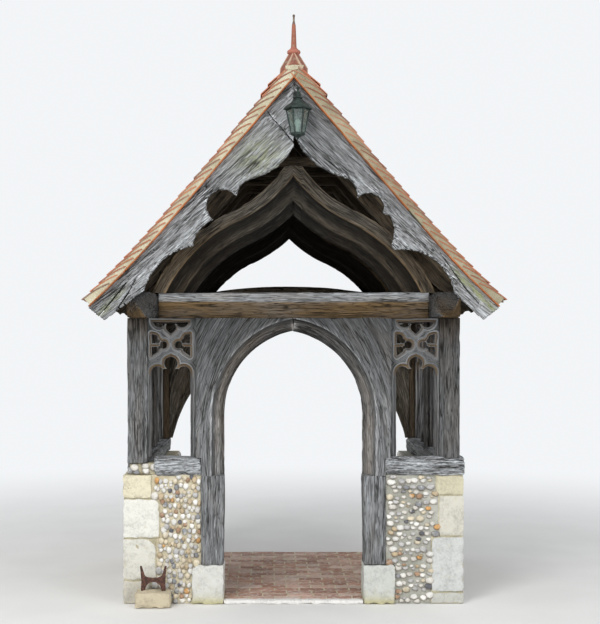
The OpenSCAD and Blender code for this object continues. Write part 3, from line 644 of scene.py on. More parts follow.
def make_posts():
    """The corner, mid, rear and door posts, of which the front ones are darker at the top with grime and
    painted shade.
    """
    hollow = arc((post_in, 0), 0.038, math.pi / 2, 0, 6)
    corner = np.concatenate([[(post_out, 0), (post_out, post_d), (post_in, post_d)], hollow])
    corner = rounded(corner, 0.009, 0.013)
    middle = rectangle((post_out - MID_POST_T, mid_front), (post_out, mid_back))
    rear = rectangle((post_in, rear_y), (post_out, porch_depth))
    door = rectangle((door_half, 0), (door_post_out, post_d), 0.012)
    for (side, word), foot, dark in zip(SIDES, (left_post_foot, sill_top), (0.62, 0.44)):
        member(f"corner_post_{word}", side, corner, "z", foot, post_top, wear=1.3, tone=under_tie(dark, 0.72),
               shelter=lambda p: np.clip(0.7 - 2.4 * (post_top - p[:, 2]), 0.08, 0.6))
        member(f"mid_post_{word}", side, middle, "z", sill_top, post_top, nodes=["mid_posts"], shelter=0.3,
               tone=0.5)
        member(f"rear_post_{word}", side, rear, "z", sill_top, post_top, nodes=["rear_posts"], shelter=0.7,
               inner=True)
        member(f"door_post_{word}", side, door, "z", door_stone_h, scarf_z, wear=1.6, tone=0.83)


def make_sills():
    """The heavily worn sills on the front walls, and those on the side walls."""
    front = rectangle((0, wall_h), (sill_d, sill_top), 0.022, 0.012)
    beam_out = local_box("side_sills")[1][0]
    beam = rectangle((beam_out - sill_d, wall_h), (beam_out, sill_top), 0.018)
    for (side, word), end, tone in zip(SIDES, (sill_end, wall_out), (1.03, 0.96)):
        member(f"sill_front_{word}", side, front, "x", door_post_out, end, 0.02, wear=2.6, ends=0.012,
               shelter=-0.5, tone=tone)
        member(f"side_sill_{word}", side, beam, "y", max(sill_d, post_d), porch_depth, nodes=["side_sills"],
               across=(0, 0, 1), wear=2.0, shelter=-0.2, tone=0.9)


def make_plates():
    """The wall plates, whose front ends show beside the tie beam."""
    arris, front_end, brown_corner = 0.03, 0.1, 0.12
    plate = rounded([(plate_in, post_top), (plate_out, post_top), (plate_out, tie_top),
                     (plate_in + arris, tie_top), (plate_in, tie_top - arris)], 0.012, 0.014)

    def end_corner(points):
        """How far a point of the front end is from the plate's lower outer corner."""
        return (plate_out - abs(points[:, 0])) * 0.7 + (points[:, 2] - post_top) * 0.7

    def end_stain(points):
        """Brown within the porch, and across the lower outer corner of the front end."""
        stain = np.where(end_corner(points) < brown_corner, 1.0, 0.2)
        return np.where(points[:, 1] < front_end, stain, 0.8)

    def end_tone(points):
        """Dark on the front end, with a pale band at the edge of its brown corner."""
        band = hump(end_corner(points), brown_corner - 0.01, 0.012)
        tone = 0.2 + 0.2 * (end_corner(points) < brown_corner - 0.02) + 0.6 * band
        return np.where(points[:, 1] < front_end, tone, 0.5)

    for side, word in SIDES:
        member(f"wall_plate_{word}", side, plate, "y", plate_front, porch_depth, 0.03, across=(0, 0, 1),
               shelter=end_stain, wear=1.4, tone=end_tone)


def resample(line, count):
    """count points at even distances along an open line, without its last point."""
    line = np.asarray(line, float)
    reach = np.concatenate([[0], np.cumsum(np.linalg.norm(np.diff(line, axis=0), axis=1))])
    places = np.linspace(0, reach[-1], count, endpoint=False)
    return np.stack([np.interp(places, reach, line[:, k]) for k in range(line.shape[1])], -1)


def make_ties():
    """The front tie beam with its hollow moulding, and the cambered one at the rear."""
    fillet_z = tie_top - 0.086
    hollow_r = (fillet_z - post_top) * 0.62
    centre = (0.03 - hollow_r, (fillet_z + post_top) / 2)
    reach = math.acos(-centre[0] / hollow_r) if centre[0] < 0 else math.pi / 2
    hollow = arc(centre, hollow_r, -reach, reach, 10)
    section = np.concatenate([[(post_d, tie_top), (post_d, post_top), (0, post_top)], hollow, [(0, tie_top)]])
    bands = [post_top, fillet_z - 0.03, fillet_z - 0.01, fillet_z + 0.01]
    member("front_tie_beam", 1, rounded(section, 0.006, 0.012), "x", -plate_in, plate_in, 0.04, wear=1.2,
           shelter=lambda p: np.where(p[:, 2] < fillet_z + 0.004, 0.9, 0.05),
           tone=lambda p: np.interp(p[:, 2], bands, [0.5, 0.75, 1.15, 0.9]))
    top = local_box("rear_tie_beam")[1][2]
    camber = top - (post_top + 0.266)
    bow_r = (plate_in * plate_in + camber * camber) / (2 * camber)
    places = stations(-plate_in, plate_in, 0.06)
    tops = top - bow_r + np.sqrt(bow_r**2 - places**2)
    sections = [rectangle((rear_y, post_top), (porch_depth, z), 0.012, 0.02) for z in tops]
    count = min(len(section) for section in sections)
    rings = [np.column_stack([np.full(count, x), resample([*section, section[0]], count)])
             for x, section in zip(places, sections)]
    timber("rear_tie_beam", np.array(rings), shelter=0.4, inner=True, tone=1.35)


# Arches

BY_ARRIS = 0.018


def moulded_rings(edge, outer, mould, back_y, rows=12):
    """Rings of a plate between an edge and an outer line.

    edge(d) gives one point for each station at a distance d from the opening, outer gives the
    stations' outer points, and mould is a list of (d, y) from the face down to the opening."""
    (face_d, face_y), (soffit_d, soffit_y) = mould[0], mould[-1]
    face_edge, soffit = edge(face_d), edge(soffit_d)
    across = outer - face_edge
    gap = np.maximum(np.linalg.norm(across, axis=1, keepdims=True), 1e-9)
    columns = [(outer - across * (k / rows), face_y) for k in range(rows)]
    columns.append((face_edge + across * np.minimum(BY_ARRIS / gap, 0.5 / rows), face_y))
    columns += [(edge(d), y) for d, y in mould]
    columns += [(soffit, soffit_y + (back_y - soffit_y) * k / 3) for k in (1, 2, 3)]
    columns += [(soffit + (outer - soffit) * k / rows, back_y) for k in range(1, rows)]
    columns += [(outer, back_y + (face_y - back_y) * k / 5) for k in range(5)]
    return np.stack([np.column_stack([xz[:, 0], np.full(len(xz), y), xz[:, 1]]) for xz, y in columns], 1)


def to_frame(centre, angle, side_x, top_z):
    """Points on an upright side and a level top, seen from a centre at the given angles."""
    ray = np.maximum(ray_at(angle), 1e-9)
    reach = np.minimum((side_x - centre[0]) / ray[:, 0], (top_z - centre[1]) / ray[:, 1])
    return centre + ray_at(angle) * reach[:, None]


def turns(count, corner_share):
    """Shares from 0 to 1, of which one falls on a frame's corner."""
    shares = np.linspace(0, 1, count)
    shares[np.argmin(abs(shares - corner_share))] = corner_share
    return shares


def smooth_line(points, steps):
    """Points along a Catmull-Rom curve through the given points."""
    points = np.asarray(points, float)
    padded = np.concatenate([2 * points[:1] - points[1:2], points, 2 * points[-1:] - points[-2:-1]])
    line = []
    for a, b, c, d in zip(padded, padded[1:], padded[2:], padded[3:]):
        for k in range(steps):
            t = k / steps
            line.append(0.5 * (2 * b + (c - a) * t + (2 * a - 5 * b + 4 * c - d) * t**2
                               + (3 * b - a - 3 * c + d) * t**3))
    return np.array(line + [points[-1]])


def make_door_arches():
    """The halves of the door arch, each with its jamb, its spandrel and its moulding."""
    arch_r, spring, mould_w = 0.739, 1.635, 0.105
    centre = np.array([door_half - arch_r, spring])
    hollow = smooth_line([(mould_w, 0), (0.099, 0.022), (0.084, 0.042), (0.07, 0.05)], 2)
    bead = smooth_line([(0.052, 0.052), (0.036, 0.06), (0.02, 0.078), (0.012, 0.098)], 2)
    mould = [*hollow, (0.054, 0.05), *bead, (0, 0.1)]
    jamb = np.concatenate([stations(scarf_z, sill_top, 0.03)[:-1], [sill_top - 0.002, sill_top + 0.002],
                           stations(sill_top, spring, 0.03)[1:-1]])
    quarter = math.pi / 2
    turn = turns(44, math.atan2(post_top - spring, arch_out) / quarter)

    def edge(d):
        top = math.acos(-centre[0] / (arch_r + d))
        upright = np.column_stack([np.full(len(jamb), door_half + d), jamb])
        return np.concatenate([upright, centre + (arch_r + d) * ray_at(turn * top)])

    side_x = np.where(jamb < sill_top, door_post_out, arch_out)
    spandrel = to_frame(np.array([0, spring]), turn * quarter, arch_out, post_top)
    outer = np.concatenate([np.column_stack([side_x, jamb]), spandrel])
    rings = moulded_rings(edge, outer, mould, arch_d)
    bend = np.array([-1.15, sill_top + 0.03])
    # Darkest under the tie beam: grime, with painted shade from the roof above.
    grime_and_painted_shade = under_tie(0.65, 0.41)

    def past_arris(points):
        """How far a point is outside the moulding's outer arris."""
        across, up = abs(points[:, 0]), points[:, 2]
        round_arch = np.hypot(across - centre[0], up - spring) - arch_r
        return np.where(up > spring, round_arch, across - door_half) - mould_w

    def moulded_tone(points):
        """Painted shade in the hollow and inside the bead, painted highlights on the arris and the fillet,
        and a pale chip at the top.
        """
        x, depth, up = points.T
        dark = 0.3 * hump(depth, 0.03, 0.013)
        dark += 0.4 * growth(depth, 0.075, 0.02) * growth(up, 1.5, 0.5, 0.1)
        pale = 1.5 * hump(past_arris(points), 0, 0.014) * (depth < 0.004) + 0.6 * hump(depth, 0.053, 0.005)
        chip = 5 * hump(x, 0.008, 0.02) * hump(up, 2.405, 0.028)
        return grime_and_painted_shade(points) * (1 - dark + pale + chip)

    def bent_grain(points):
        """Grain along the arch in its moulding, and along a wider curve across the spandrel."""
        place = np.column_stack([abs(points[:, 0]), points[:, 2]])
        start, lane, tight_r, wide_r = 0.3, 1.05, 0.79, 1.7

        def polar(middle, radius):
            away = place - middle
            return np.stack([np.arctan2(away[:, 1], away[:, 0]) * radius, np.linalg.norm(away, axis=1)])

        bowed = polar(centre, tight_r) + [[start], [lane]]
        straight = np.stack([place[:, 1] - spring + start, place[:, 0] - centre[0] + lane])
        bowed = np.where(place[:, 1] > spring, bowed, straight)
        moulding = past_arris(points) < np.where(points[:, 1] < arch_d - 0.001, -0.001, -0.1)
        return np.column_stack([*np.where(moulding, bowed, polar(bend, wide_r)), points[:, 1]])

    for side, word in SIDES:
        timber(f"door_arch_{word}", on_side(side, rings), ends=0, wear=1.1, grain_of=bent_grain,
               tone=moulded_tone, shelter=lambda p: np.clip((p[:, 1] - 0.01) * 8, 0, 0.3))


def make_rear_arches():
    """The plain arched braces at the rear."""
    lift, past, step = 0.367, 0.305, 0.045
    centre = np.array([-past, sill_top - lift])
    radius = math.hypot(post_in - 0.025 + past, lift)
    base = np.array([0, centre[1] + 0.1])
    low_ray = math.atan2(sill_top - base[1], post_in)
    sweep = math.pi / 2 - low_ray
    turn = turns(36, (math.atan2(post_top - base[1], post_in) - low_ray) / sweep)

    def edge(d):
        start = math.asin(lift / (radius + d))
        stop = math.acos(past / (radius + d))
        line = centre + (radius + d) * ray_at(start + (stop - start) * turn)
        return np.minimum(line, [post_in - 0.004, post_top - 0.004])

    outer = to_frame(base, low_ray + sweep * turn, post_in, post_top)
    mould = [(d, rear_y + y) for d, y in ((step, 0), (step, 0.046), (0.006, 0.052), (0, 0.06))]
    rings = moulded_rings(edge, outer, mould, rear_y + 0.12, 6)
    for side, word in SIDES:
        timber(f"rear_arch_{word}", on_side(side, rings), ends=0, inner=True, shelter=0.15, tone=1.5)


def make_ogee_braces():
    """The moulded ogee braces in the front gable, and those at the rear."""
    upper_r, apex_slope, flat_slope = 1.2, math.radians(55), math.radians(25)
    face, hollow, inner, arris_w = 0.108, 0.13, 0.08, 0.011
    ogee_top = ridge_z - 0.929
    upper = np.array([upper_r * math.sin(apex_slope), ogee_top + upper_r * math.cos(apex_slope)])
    foot = np.array([plate_in - 0.061, tie_top])
    flat = np.array([math.sin(flat_slope), math.cos(flat_slope)])
    chord = foot - upper + upper_r * flat
    lower_r = -chord @ chord / (2 * chord @ flat)
    lower = upper - (upper_r + lower_r) * flat
    joint = upper - upper_r * flat

    def edge(out):
        """The line out outside the first arris, from the middle to the wall plate."""
        r_up, r_low = upper_r - out, lower_r + out
        high = arc(upper, r_up, math.pi + math.acos(upper[0] / r_up), 1.5 * math.pi - flat_slope, 30)
        low_end = math.asin((tie_top - lower[1]) / r_low)
        line = np.concatenate([high, arc(lower, r_low, math.pi / 2 - flat_slope, low_end, 36)[1:]])
        line[:, 1] = np.minimum(line[:, 1], collar_foot)
        return line

    def arris(points, start):
        """1 along the two arrises of the braces' face."""
        place = np.column_stack([abs(points[:, 0]), points[:, 2]])
        past_joint = (place - joint) @ np.array([flat[1], -flat[0]]) > 0
        out = np.where(past_joint, np.linalg.norm(place - lower, axis=1) - lower_r,
                       upper_r - np.linalg.norm(place - upper, axis=1))
        return (hump(out, 0, arris_w) + 0.6 * hump(out, face, arris_w)) * (points[:, 1] < start + 0.02)

    def face_tone(points, start):
        """Pale on the face and its arris, with painted shade and dirt in the hollows and a painted highlight
        on the fillet between them.
        """
        depth = points[:, 1] - start
        tone = np.where(depth < 0.006, 1.3, 0.22 + 0.4 * hump(depth, 0.07, 0.006))
        return tone + (0.5 + 1.3 * hump(points[:, 2], tie_top, 0.22)) * arris(points, start)

    cavetto = [(0, 0.0), (-0.012, 0.03), (-0.05, 0.058), (-0.11, 0.068), (-hollow, 0.07)]
    past_hollow = [(0.004, 0.078), (0.02, 0.105), (0.05, 0.125), (inner, 0.13)]
    second = [(-hollow - past, y) for past, y in past_hollow]
    profile = [*smooth_line(cavetto, 3), *smooth_line(second, 2)]
    rear_start = rear_y + 0.002
    for start, depth, place in ((0, post_d, "front"), (rear_start, porch_depth - rear_start, "rear")):
        mould = [(d, start + y * depth / post_d) for d, y in profile]
        rings = moulded_rings(edge, edge(face), mould, start + depth, 7)
        for side, word in SIDES:
            timber(f"ogee_brace_{place}_{word}", on_side(side, rings), ends=0, inner=True, wear=1.3,
                   shelter=lambda p: np.clip(0.8 - (p[:, 2] - tie_top), 0.1, 0.5) + 0.6 * arris(p, start),
                   tone=lambda p: face_tone(p, start))


# Roof timbers

def rafter_rings(start_y, width, depth):
    """One rafter with its sprocket, from the ridge to the eaves, as rings across it."""
    foot_x, sprocket_x, sprocket_h = plate_out + 0.07, eaves_x - 0.081, 0.07
    rings = []
    for along in stations(TILE_BED * math.tan(PITCH) + 0.002, slope_length, 0.055):
        top = roof_point(along, TILE_BED)
        if top[0] > sprocket_x:
            break
        ahead = unit(roof_point(along + 0.01, TILE_BED) - top)
        normal = np.array([ahead[1], -ahead[0]])
        deep = min(depth, (top[1] - tie_top) / -normal[1]) if top[0] < foot_x + 0.05 else sprocket_h
        low = top + normal * max(deep, sprocket_h)
        low[0] = max(low[0], 0.0)
        down = np.linspace(0, 1, max(3, round(depth / 0.03)))
        ring = [(top + (low - top) * v, 0) for v in down] + [(low, 1 / 3), (low, 2 / 3)]
        ring += [(low + (top - low) * v, 1) for v in down] + [(top, 2 / 3), (top, 1 / 3)]
        rings.append([(xz[0], start_y + width * share, xz[1]) for xz, share in ring])
    return np.array(rings)


def make_rafters():
    """The rafters of both slopes, and the collars between them."""
    full, slim = 0.22, 0.13
    first, last = post_d / 2, (rear_y + porch_depth) / 2
    commons = [first + (last - first) * k / (COMMON_COUNT + 1) for k in range(1, COMMON_COUNT + 1)]
    places = [(plate_front, slim), (first - RAFTER_W / 2, full), (porch_depth - RAFTER_W, full)]
    places += [(y - RAFTER_W / 2, slim) for y in commons]
    for side, word in SIDES:
        for number, (y, depth) in enumerate(sorted(places), 1):
            timber(f"rafter_{word}_{number}", on_side(side, rafter_rings(y, RAFTER_W, depth)),
                   [f"rafters_{word}"], ends=0, inner=True, shelter=0.6)
    half = (ridge_z - (TILE_BED + slim) / math.cos(PITCH) - collar_foot) / math.tan(PITCH) + 0.03
    for number, y in enumerate([first, *commons, porch_depth - RAFTER_W / 2], 1):
        section = rectangle((y - 0.04, collar_foot), (y + 0.04, collar_top), 0.007, 0.02)
        member(f"collar_{number}", 1, section, "x", -half, half, 0.09, nodes=["collars"], inner=True,
               shelter=0.65)


# Plates that are cut out of a fine grid

def disc(points, x, z, radius):
    """Distance to a circle, negative inside it."""
    return np.hypot(points[:, 0] - x, points[:, 1] - z) - radius


def area(points, corners, reach=1e9):
    """Distance to a polygon's outline, negative inside it. Further away than reach it stays at reach."""
    corners = np.array(corners, float)
    order = np.argsort(points[:, 0], kind="stable")
    x, z = points[order].T
    nearest = np.full(len(points), float(reach))
    inside = np.zeros(len(points), bool)
    for a, b in zip(corners, np.roll(corners, -1, 0)):
        left, right = min(a[0], b[0]), max(a[0], b[0])
        part = slice(*np.searchsorted(x, (left - reach, right + reach)))
        way = b - a
        from_x, from_z = x[part] - a[0], z[part] - a[1]
        share = np.clip((from_x * way[0] + from_z * way[1]) / (way @ way), 0, 1)
        gap = np.hypot(from_x - share * way[0], from_z - share * way[1])
        nearest[part] = np.minimum(nearest[part], gap)
        spans = (x[part] >= left) & (x[part] < right)
        inside[part] ^= spans & (from_z < from_x * way[1] / (way[0] or 1))
    distance = np.empty(len(points))
    distance[order] = np.where(inside, -nearest, nearest)
    return distance


def snapped(field, flat, kept, cell, snaps):
    """The points and their distances, after those near one of the snaps' distances moved to it.

    Where kept is true, a point's coordinate stays as it is."""
    flat = flat.copy()
    distance = field(flat)
    nudge, close, clear, on_edge = 1e-4, 0.56 * cell, 0.4 * cell, 0.12 * cell
    steps = [(nudge, 0), (0, nudge)]
    for target in (*snaps, snaps[0]):
        near = abs(distance - target) < close
        if target != snaps[0]:
            near &= distance > clear
        slope = np.column_stack([field(flat[near] + step) - distance[near] for step in steps])
        step = -(distance[near] - target)[:, None] * slope / nudge
        flat[near] += np.where(kept[near], 0, step)
        distance[near] = field(flat[near])
    distance[abs(distance) < on_edge] = 0
    return flat, distance


def unpinched(whole, triangles, total):
    """The faces without those at a point where the outline touches itself, and their open edges."""
    while True:
        edges = np.concatenate([np.stack([group, np.roll(group, -1, 1)], -1).reshape(-1, 2)
                                for group in (whole, triangles)])
        backward = edges[:, 1] * total + edges[:, 0]
        open_edges = edges[~np.isin(edges[:, 0] * total + edges[:, 1], backward)]
        uses = np.bincount(open_edges[:, 0], minlength=total)
        if uses.max() < 2:
            return whole, triangles, open_edges
        whole = whole[(uses[whole] < 2).all(1)]
        triangles = triangles[(uses[triangles] < 2).all(1)]


def cut_plate(field, low, high, cell, snaps):
    """A plate's front, as points, each point's distance, quads, triangles and open edges.

    field is the distance to the plate's cut edges, positive in the wood. Points near one of the
    snaps' distances are moved to it, so that edges and arrises come out smooth."""
    low, high = np.array(low), np.array(high)
    counts = np.round((high - low) / cell).astype(int)
    lines = [np.linspace(low[k], high[k], counts[k] + 1) for k in (0, 1)]
    across, up = np.meshgrid(*lines, indexing="ij")
    flat = np.column_stack([across.ravel(), up.ravel()])
    on_frame = (abs(flat - low) < 1e-6) | (abs(flat - high) < 1e-6)
    flat, distance = snapped(field, flat, on_frame, cell, snaps)
    number = np.arange(len(flat)).reshape(across.shape)
    quads = np.stack([number[:-1, :-1], number[1:, :-1], number[1:, 1:], number[:-1, 1:]], -1).reshape(-1, 4)
    solid = distance[quads] >= 0
    whole = quads[solid.all(1)]
    by_edge = (distance[whole] < 0.9 * cell).any(1)
    middle = np.ones(len(whole))
    middle[by_edge] = field(flat[whole[by_edge]].mean(1))
    whole = whole[middle > 0]
    partly = solid.sum(1) == 3
    order = (np.argmin(solid[partly], 1)[:, None] + [1, 2, 3]) % 4
    triangles = np.take_along_axis(quads[partly], order, 1)
    triangles = triangles[field(flat[triangles].mean(1)) > 0]
    whole, triangles, open_edges = unpinched(whole, triangles, len(flat))
    used = np.unique(np.concatenate([whole.ravel(), triangles.ravel()]))
    renumber = np.full(len(flat), -1)
    renumber[used] = np.arange(len(used))
    return flat[used], distance[used], renumber[whole], renumber[triangles], renumber[open_edges]


def thicken(flat, whole, triangles, open_edges, inset, thick):
    """A closed plate from its front: points (across, up, depth), with the inset's depth at the front."""
    total = len(flat)
    points = np.concatenate([np.column_stack([flat, inset]), np.column_stack([flat, thick - inset])])
    walls = np.column_stack([open_edges[:, ::-1], open_edges + total])
    faces = [np.concatenate([whole, whole[:, ::-1] + total, walls]),
             np.concatenate([triangles, triangles[:, ::-1] + total])]
    return points, faces


# Bargeboards

# Lower edges from the tip at the middle to the foot. A corner is its distance from the middle,
# its depth below the ridge, and the rise of the bow that follows, which is positive where the
# bow is cut into the board.
LEFT_EDGE = [(0, 0.715, -0.055), (0.374, 0.986, 0.031), (0.484, 1.147, 0.174), (0.674, 1.336, 0.047),
             (0.858, 1.561, 0.085), (1.272, 1.94, 0)]
RIGHT_EDGE = [(0, 0.61, -0.065), (0.401, 0.965, 0.044), (0.54, 1.152, 0.105), (0.757, 1.279, 0),
              (0.816, 1.3, 0.033), (0.824, 1.559, 0), (0.858, 1.593, 0.13), (1.368, 1.967, 0)]
PATCH_FOOT, PATCH_HEAD = (0, 0.682), (0.241, 0.404)
# Splits, each with its start, its bend, its end and its width, and the holes of pegs. These
# places too are a distance from the middle and a depth below the ridge.
LEFT_SPLITS = [((1.42, 1.86), (1.49, 1.95), (1.665, 2.165), 0.014),
               ((1.345, 1.835), (1.4, 1.94), (1.52, 2.12), 0.011)]
RIGHT_SPLITS = [((1.24, 1.608), (1.446, 1.9), (1.576, 2.051), 0.011)]
LEFT_PEGS = [(0.742, 1.054), (1.188, 1.594)]
RIGHT_PEGS = [(1.028, 1.394), (1.181, 1.596), (1.291, 1.721)]
PEG_R = 0.0075
BARGE_END_W, BARGE_CELL, BARGE_SLANT, EAVES_CUT = 0.165, 0.007, 0.12, math.radians(8)


def bow(start, end, rise, step):
    """Points from start towards end, without end, on an arc that rises to the left of the way."""
    way = end - start
    half = np.linalg.norm(way) / 2
    if abs(rise) < 0.0005:
        count = round(2 * half / step) + 1
        return start + np.arange(count)[:, None] / count * way
    left = np.array([-way[1], way[0]]) / (2 * half)
    radius = (half**2 + rise**2) / (2 * abs(rise))
    side = math.copysign(1, rise)
    centre = (start + end) / 2 + left * (rise - side * radius)
    first = math.atan2(*(start - centre)[::-1])
    sweep = 2 * math.asin(min(1, half / radius))
    sweep = 2 * math.pi - sweep if abs(rise) > half else sweep
    steps = max(3, round(sweep * radius / step))
    return arc(centre, radius, first, first - side * sweep, steps)[:-1]


def lower_edge(edge):
    """The lower edge of a board with its foot's end, as points (across, depth)."""
    foot = roof_point(slope_length, TILE_BED)
    end = foot - BARGE_END_W * ray_at(EAVES_PITCH + EAVES_CUT)[::-1]
    corners = [np.array([x, ridge_z - depth]) for x, depth, _ in edge] + [end]
    line = [bow(corners[k], corners[k + 1], rise, 0.011) for k, (_, _, rise) in enumerate(edge)]
    line = np.concatenate(line + [[end, foot + (foot - end) * 0.3]])
    return np.column_stack([line[:, 0], ridge_z - line[:, 1]])


def wedge(start, bend, end, width):
    """A split that opens from its start and is widest in the middle, as a polygon on the slope."""
    line = smooth_line(roof_place(*np.transpose([start, bend, end])), 6)
    wide = width / 2 * np.array([0.02, *np.sin(np.linspace(0.5, 2.3, len(line) - 1))])
    return np.concatenate([line + np.outer(wide, (0, 1)), line[::-1] - np.outer(wide[::-1], (0, 1))])


def make_board(name, side, outline, splits=(), pegs=(), **look):
    """A worn board on the slope, cut to an outline (across, depth)."""
    seed, cell = seed_of(name), BARGE_CELL
    outline = roof_place(*np.transpose(outline))
    wedges = [wedge(*split) for split in splits]

    def field(places):
        grained = np.column_stack([places, places[:, 0] * 0])
        ragged = noise(grained, seed, layers=3, wave=(0.07, 0.016, 1), depth=0.0024)
        ragged += noise(grained, seed, wave=(0.3, 0.05, 1), depth=0.002)
        distance = -area(places, outline, 0.08)
        distance -= np.where(places[:, 1] > TILE_BED + 0.03, 0.002 + ragged, 0)
        cuts = [area(places, corners, 0.08) for corners in wedges]
        cuts += [disc(places, *roof_place(x, depth), PEG_R) for x, depth in pegs]
        return np.min([distance, *cuts], axis=0)

    low = (outline[:, 0].min() - cell, TILE_BED)
    high = (min(outline[:, 0].max(), slope_length) + 3 * cell, outline[:, 1].max() + cell)
    flat, distance, *faces = cut_plate(field, low, high, cell, (0, 0.01))
    shown = np.where(flat[:, 1] < TILE_BED + 0.02, 0.08, distance)
    inset = 0.006 * (1 - growth(shown, 0, 0.012))**2 + 0.004 * np.exp(-shown / 0.025)
    points, faces = thicken(flat, *faces, inset, barge_back - barge_front)
    along, drop, depth = points.T
    x, z = roof_point(along, drop).T
    made = np.column_stack([side * x, barge_front + depth, z])
    grain = np.column_stack([along, drop + BARGE_SLANT * along, depth])
    relief = noise(grain, seed + 1, layers=3, wave=(0.5, 0.028, 0.2), depth=0.0013)
    bare = np.exp(-np.tile(-area(flat, outline, 0.3), 2) / 0.05)
    bare *= np.clip(0.7 + noise(grain, seed + 2, wave=(0.2, 0.08, 1), depth=0.6), 0, 1)
    bare *= growth(slope_length - along, 0.2, 0.3, 0.15) * growth(drop, TILE_BED, 0.06, 0.1)
    dress(name, made, faces, grain, shelter=-0.25 - 0.75 * bare, wear=relief, smooth=50, **look)


def roof_over(along):
    """A point (across, depth) a little above the tiles' underside, to close a board's outline."""
    x, z = roof_point(along, TILE_BED - 0.04)
    return x, ridge_z - z


def moss_strip(points, drop, width, start):
    """A green strip at a drop below the slope, from a place across down to the foot."""
    across = abs(points[:, 0])
    below = roof_place(across, ridge_z - points[:, 2])[:, 1]
    return hump(below, drop, width) * growth(across, start, 0.12)


def moss_left(points):
    """Yellow lichen over the upper board's lower half, and a green strip at the foot."""
    upper = hump(abs(points[:, 0]), 0.3, 0.22) * hump(points[:, 2], ridge_z - 0.8, 0.16)
    return 0.5 * upper + 0.6 * moss_strip(points, 0.19, 0.03, 1.4)


def moss_right(points):
    """A green strip at the foot."""
    return 0.95 * moss_strip(points, 0.13, 0.026, 1.3)


def make_bargeboards():
    """The two boards of the gable, and the patch at the left one's head."""
    over = [roof_over(slope_length), roof_over(straight_length)]
    make_board("bargeboard_right", 1, [*lower_edge(RIGHT_EDGE), *over, (0, 0)], RIGHT_SPLITS, RIGHT_PEGS,
               moss=moss_right, tone=lambda p: np.clip(0.8 + 0.5 * (ridge_z - 0.9 - p[:, 2]), 0.78, 1.35))
    foot = np.array(PATCH_FOOT)
    head = foot + (np.array(PATCH_HEAD) - foot) * 1.15
    make_board("bargeboard_left", -1, [foot, *lower_edge(LEFT_EDGE), *over, head], LEFT_SPLITS, LEFT_PEGS,
               moss=moss_left, tone=1.04)
    make_board("bargeboard_patch", -1, [head - (0.004, 0), foot - (0, 0.006), (0, 0)], tone=1.1)


# Lights with tracery heads

TRACERY_W = 0.344
LIGHT_RAIL, MULLION_W, LIGHT_T = 0.034, 0.11, 0.07
HOLLOW_W, HOLLOW_D = 0.025, 0.026


def light_field(points, open_h):
    """Distance to the piercings of one light, whose top is at zero, in millimetres."""
    half, foil_r, foil_z, centre_z, cusp, cusp_z = 172, 56, -442, -362, 62, -408
    side_x = half - foil_r
    mirrored = np.column_stack([abs(points[:, 0]), points[:, 1]])
    discs = [(side_x, foil_z, foil_r), (0, centre_z, foil_r + 2), (66, -199, 33), (140, -139, 29),
             (112, -166, 20), (134, -240, 28), (100, -220, 14), (0, -44, 46)]
    polygons = [
        [(-half, -open_h), (half, -open_h), (half, foil_z), (-half, foil_z)],
        [(0, foil_z - foil_r), (side_x, foil_z - foil_r), (side_x, foil_z), (cusp, cusp_z), (0, cusp_z)],
        [(-cusp, cusp_z), (cusp, cusp_z), (cusp, -470), (-cusp, -470)],
        [(-45, centre_z + 35), (0, centre_z + 64), (45, centre_z + 35)],
        [(128, -112), (168, -104), (168, -184), (140, -186), (118, -172)],
        [(108, -226), (168, -212), (168, -296), (112, -258)],
        [(-36, -72), (0, -106), (36, -72)],
        [(-150, -14), (150, -14), (150, 0), (-150, 0)],
    ]
    half_disc = np.maximum(disc(mirrored, 98, 12, 58), mirrored[:, 1])
    shapes = [disc(mirrored, *place) for place in discs] + [area(mirrored, corners) for corners in polygons]
    return np.min([*shapes, half_disc], axis=0)


def panel_field(width, jambs, lights):
    """Distance to the openings of a light frame, as a function of points (across, up)."""
    clear = (width - sum(jambs) - (lights - 1) * MULLION_W) / lights
    grow = clear / TRACERY_W / 1000
    open_h = (post_top - sill_top - LIGHT_RAIL + 0.05) / grow
    tops = [(jambs[0] + clear / 2 + k * (clear + MULLION_W), post_top - LIGHT_RAIL) for k in range(lights)]
    return lambda points: np.min([light_field((points - top) / grow, open_h) * grow for top in tops], axis=0)


def pierced_panel(field, width, cell):
    """A light frame with hollow-chamfered piercings: points, faces, distances to the edge, and
    how far each point overhangs its piercing, from -1 to 1."""
    flat, distance, *faces = cut_plate(field, (0, sill_top), (width, post_top), cell, (0, HOLLOW_W))
    inset = HOLLOW_D * (1 - np.clip(distance / HOLLOW_W, 0, 1)**2)**0.6
    points, faces = thicken(flat, *faces, inset, LIGHT_T)
    nudge = 0.003
    overhang = (field(flat + [0, nudge]) - field(flat - [0, nudge])) / (2 * nudge)
    return points, faces, np.tile(distance, 2), np.tile(overhang, 2)


def place_lights(name, panels, brown):
    """Joins panels, each (points, faces, distance, overhang, placing), into one piece.

    The hollows are brown where they overhang, and a painted highlight runs along the arris at each hollow's
    edge."""
    shape = Shape()
    for number, (points, faces, distance, overhang, placing) in enumerate(panels):
        grain = np.column_stack([0.5 * (points[:, 1] + points[:, 0]), 1.4 * distance, 0.5 * points[:, 2]])
        seed = seed_of(name) + number
        wobble = np.column_stack([noise(points, seed + k, wave=0.12, depth=0.001) for k in range(3)])
        share = distance / HOLLOW_W
        headwork = growth(points[:, 1], post_top - 0.52, 0.04)
        under = hump(share, 0.45, 0.35) * headwork * np.clip(0.7 + 0.5 * overhang, 0, 1)
        # The tone's middle term is a painted highlight along each hollow's arris.
        shape.add(placing(points) + wobble, faces, grain=grain + 3 * number, shelter=brown + 1.1 * under,
                  tone=0.52 + 0.45 * hump(share, 1, 0.3) + 0.45 * under)
    shape.build(name, weathered_oak, "weathered_oak", smooth=35)


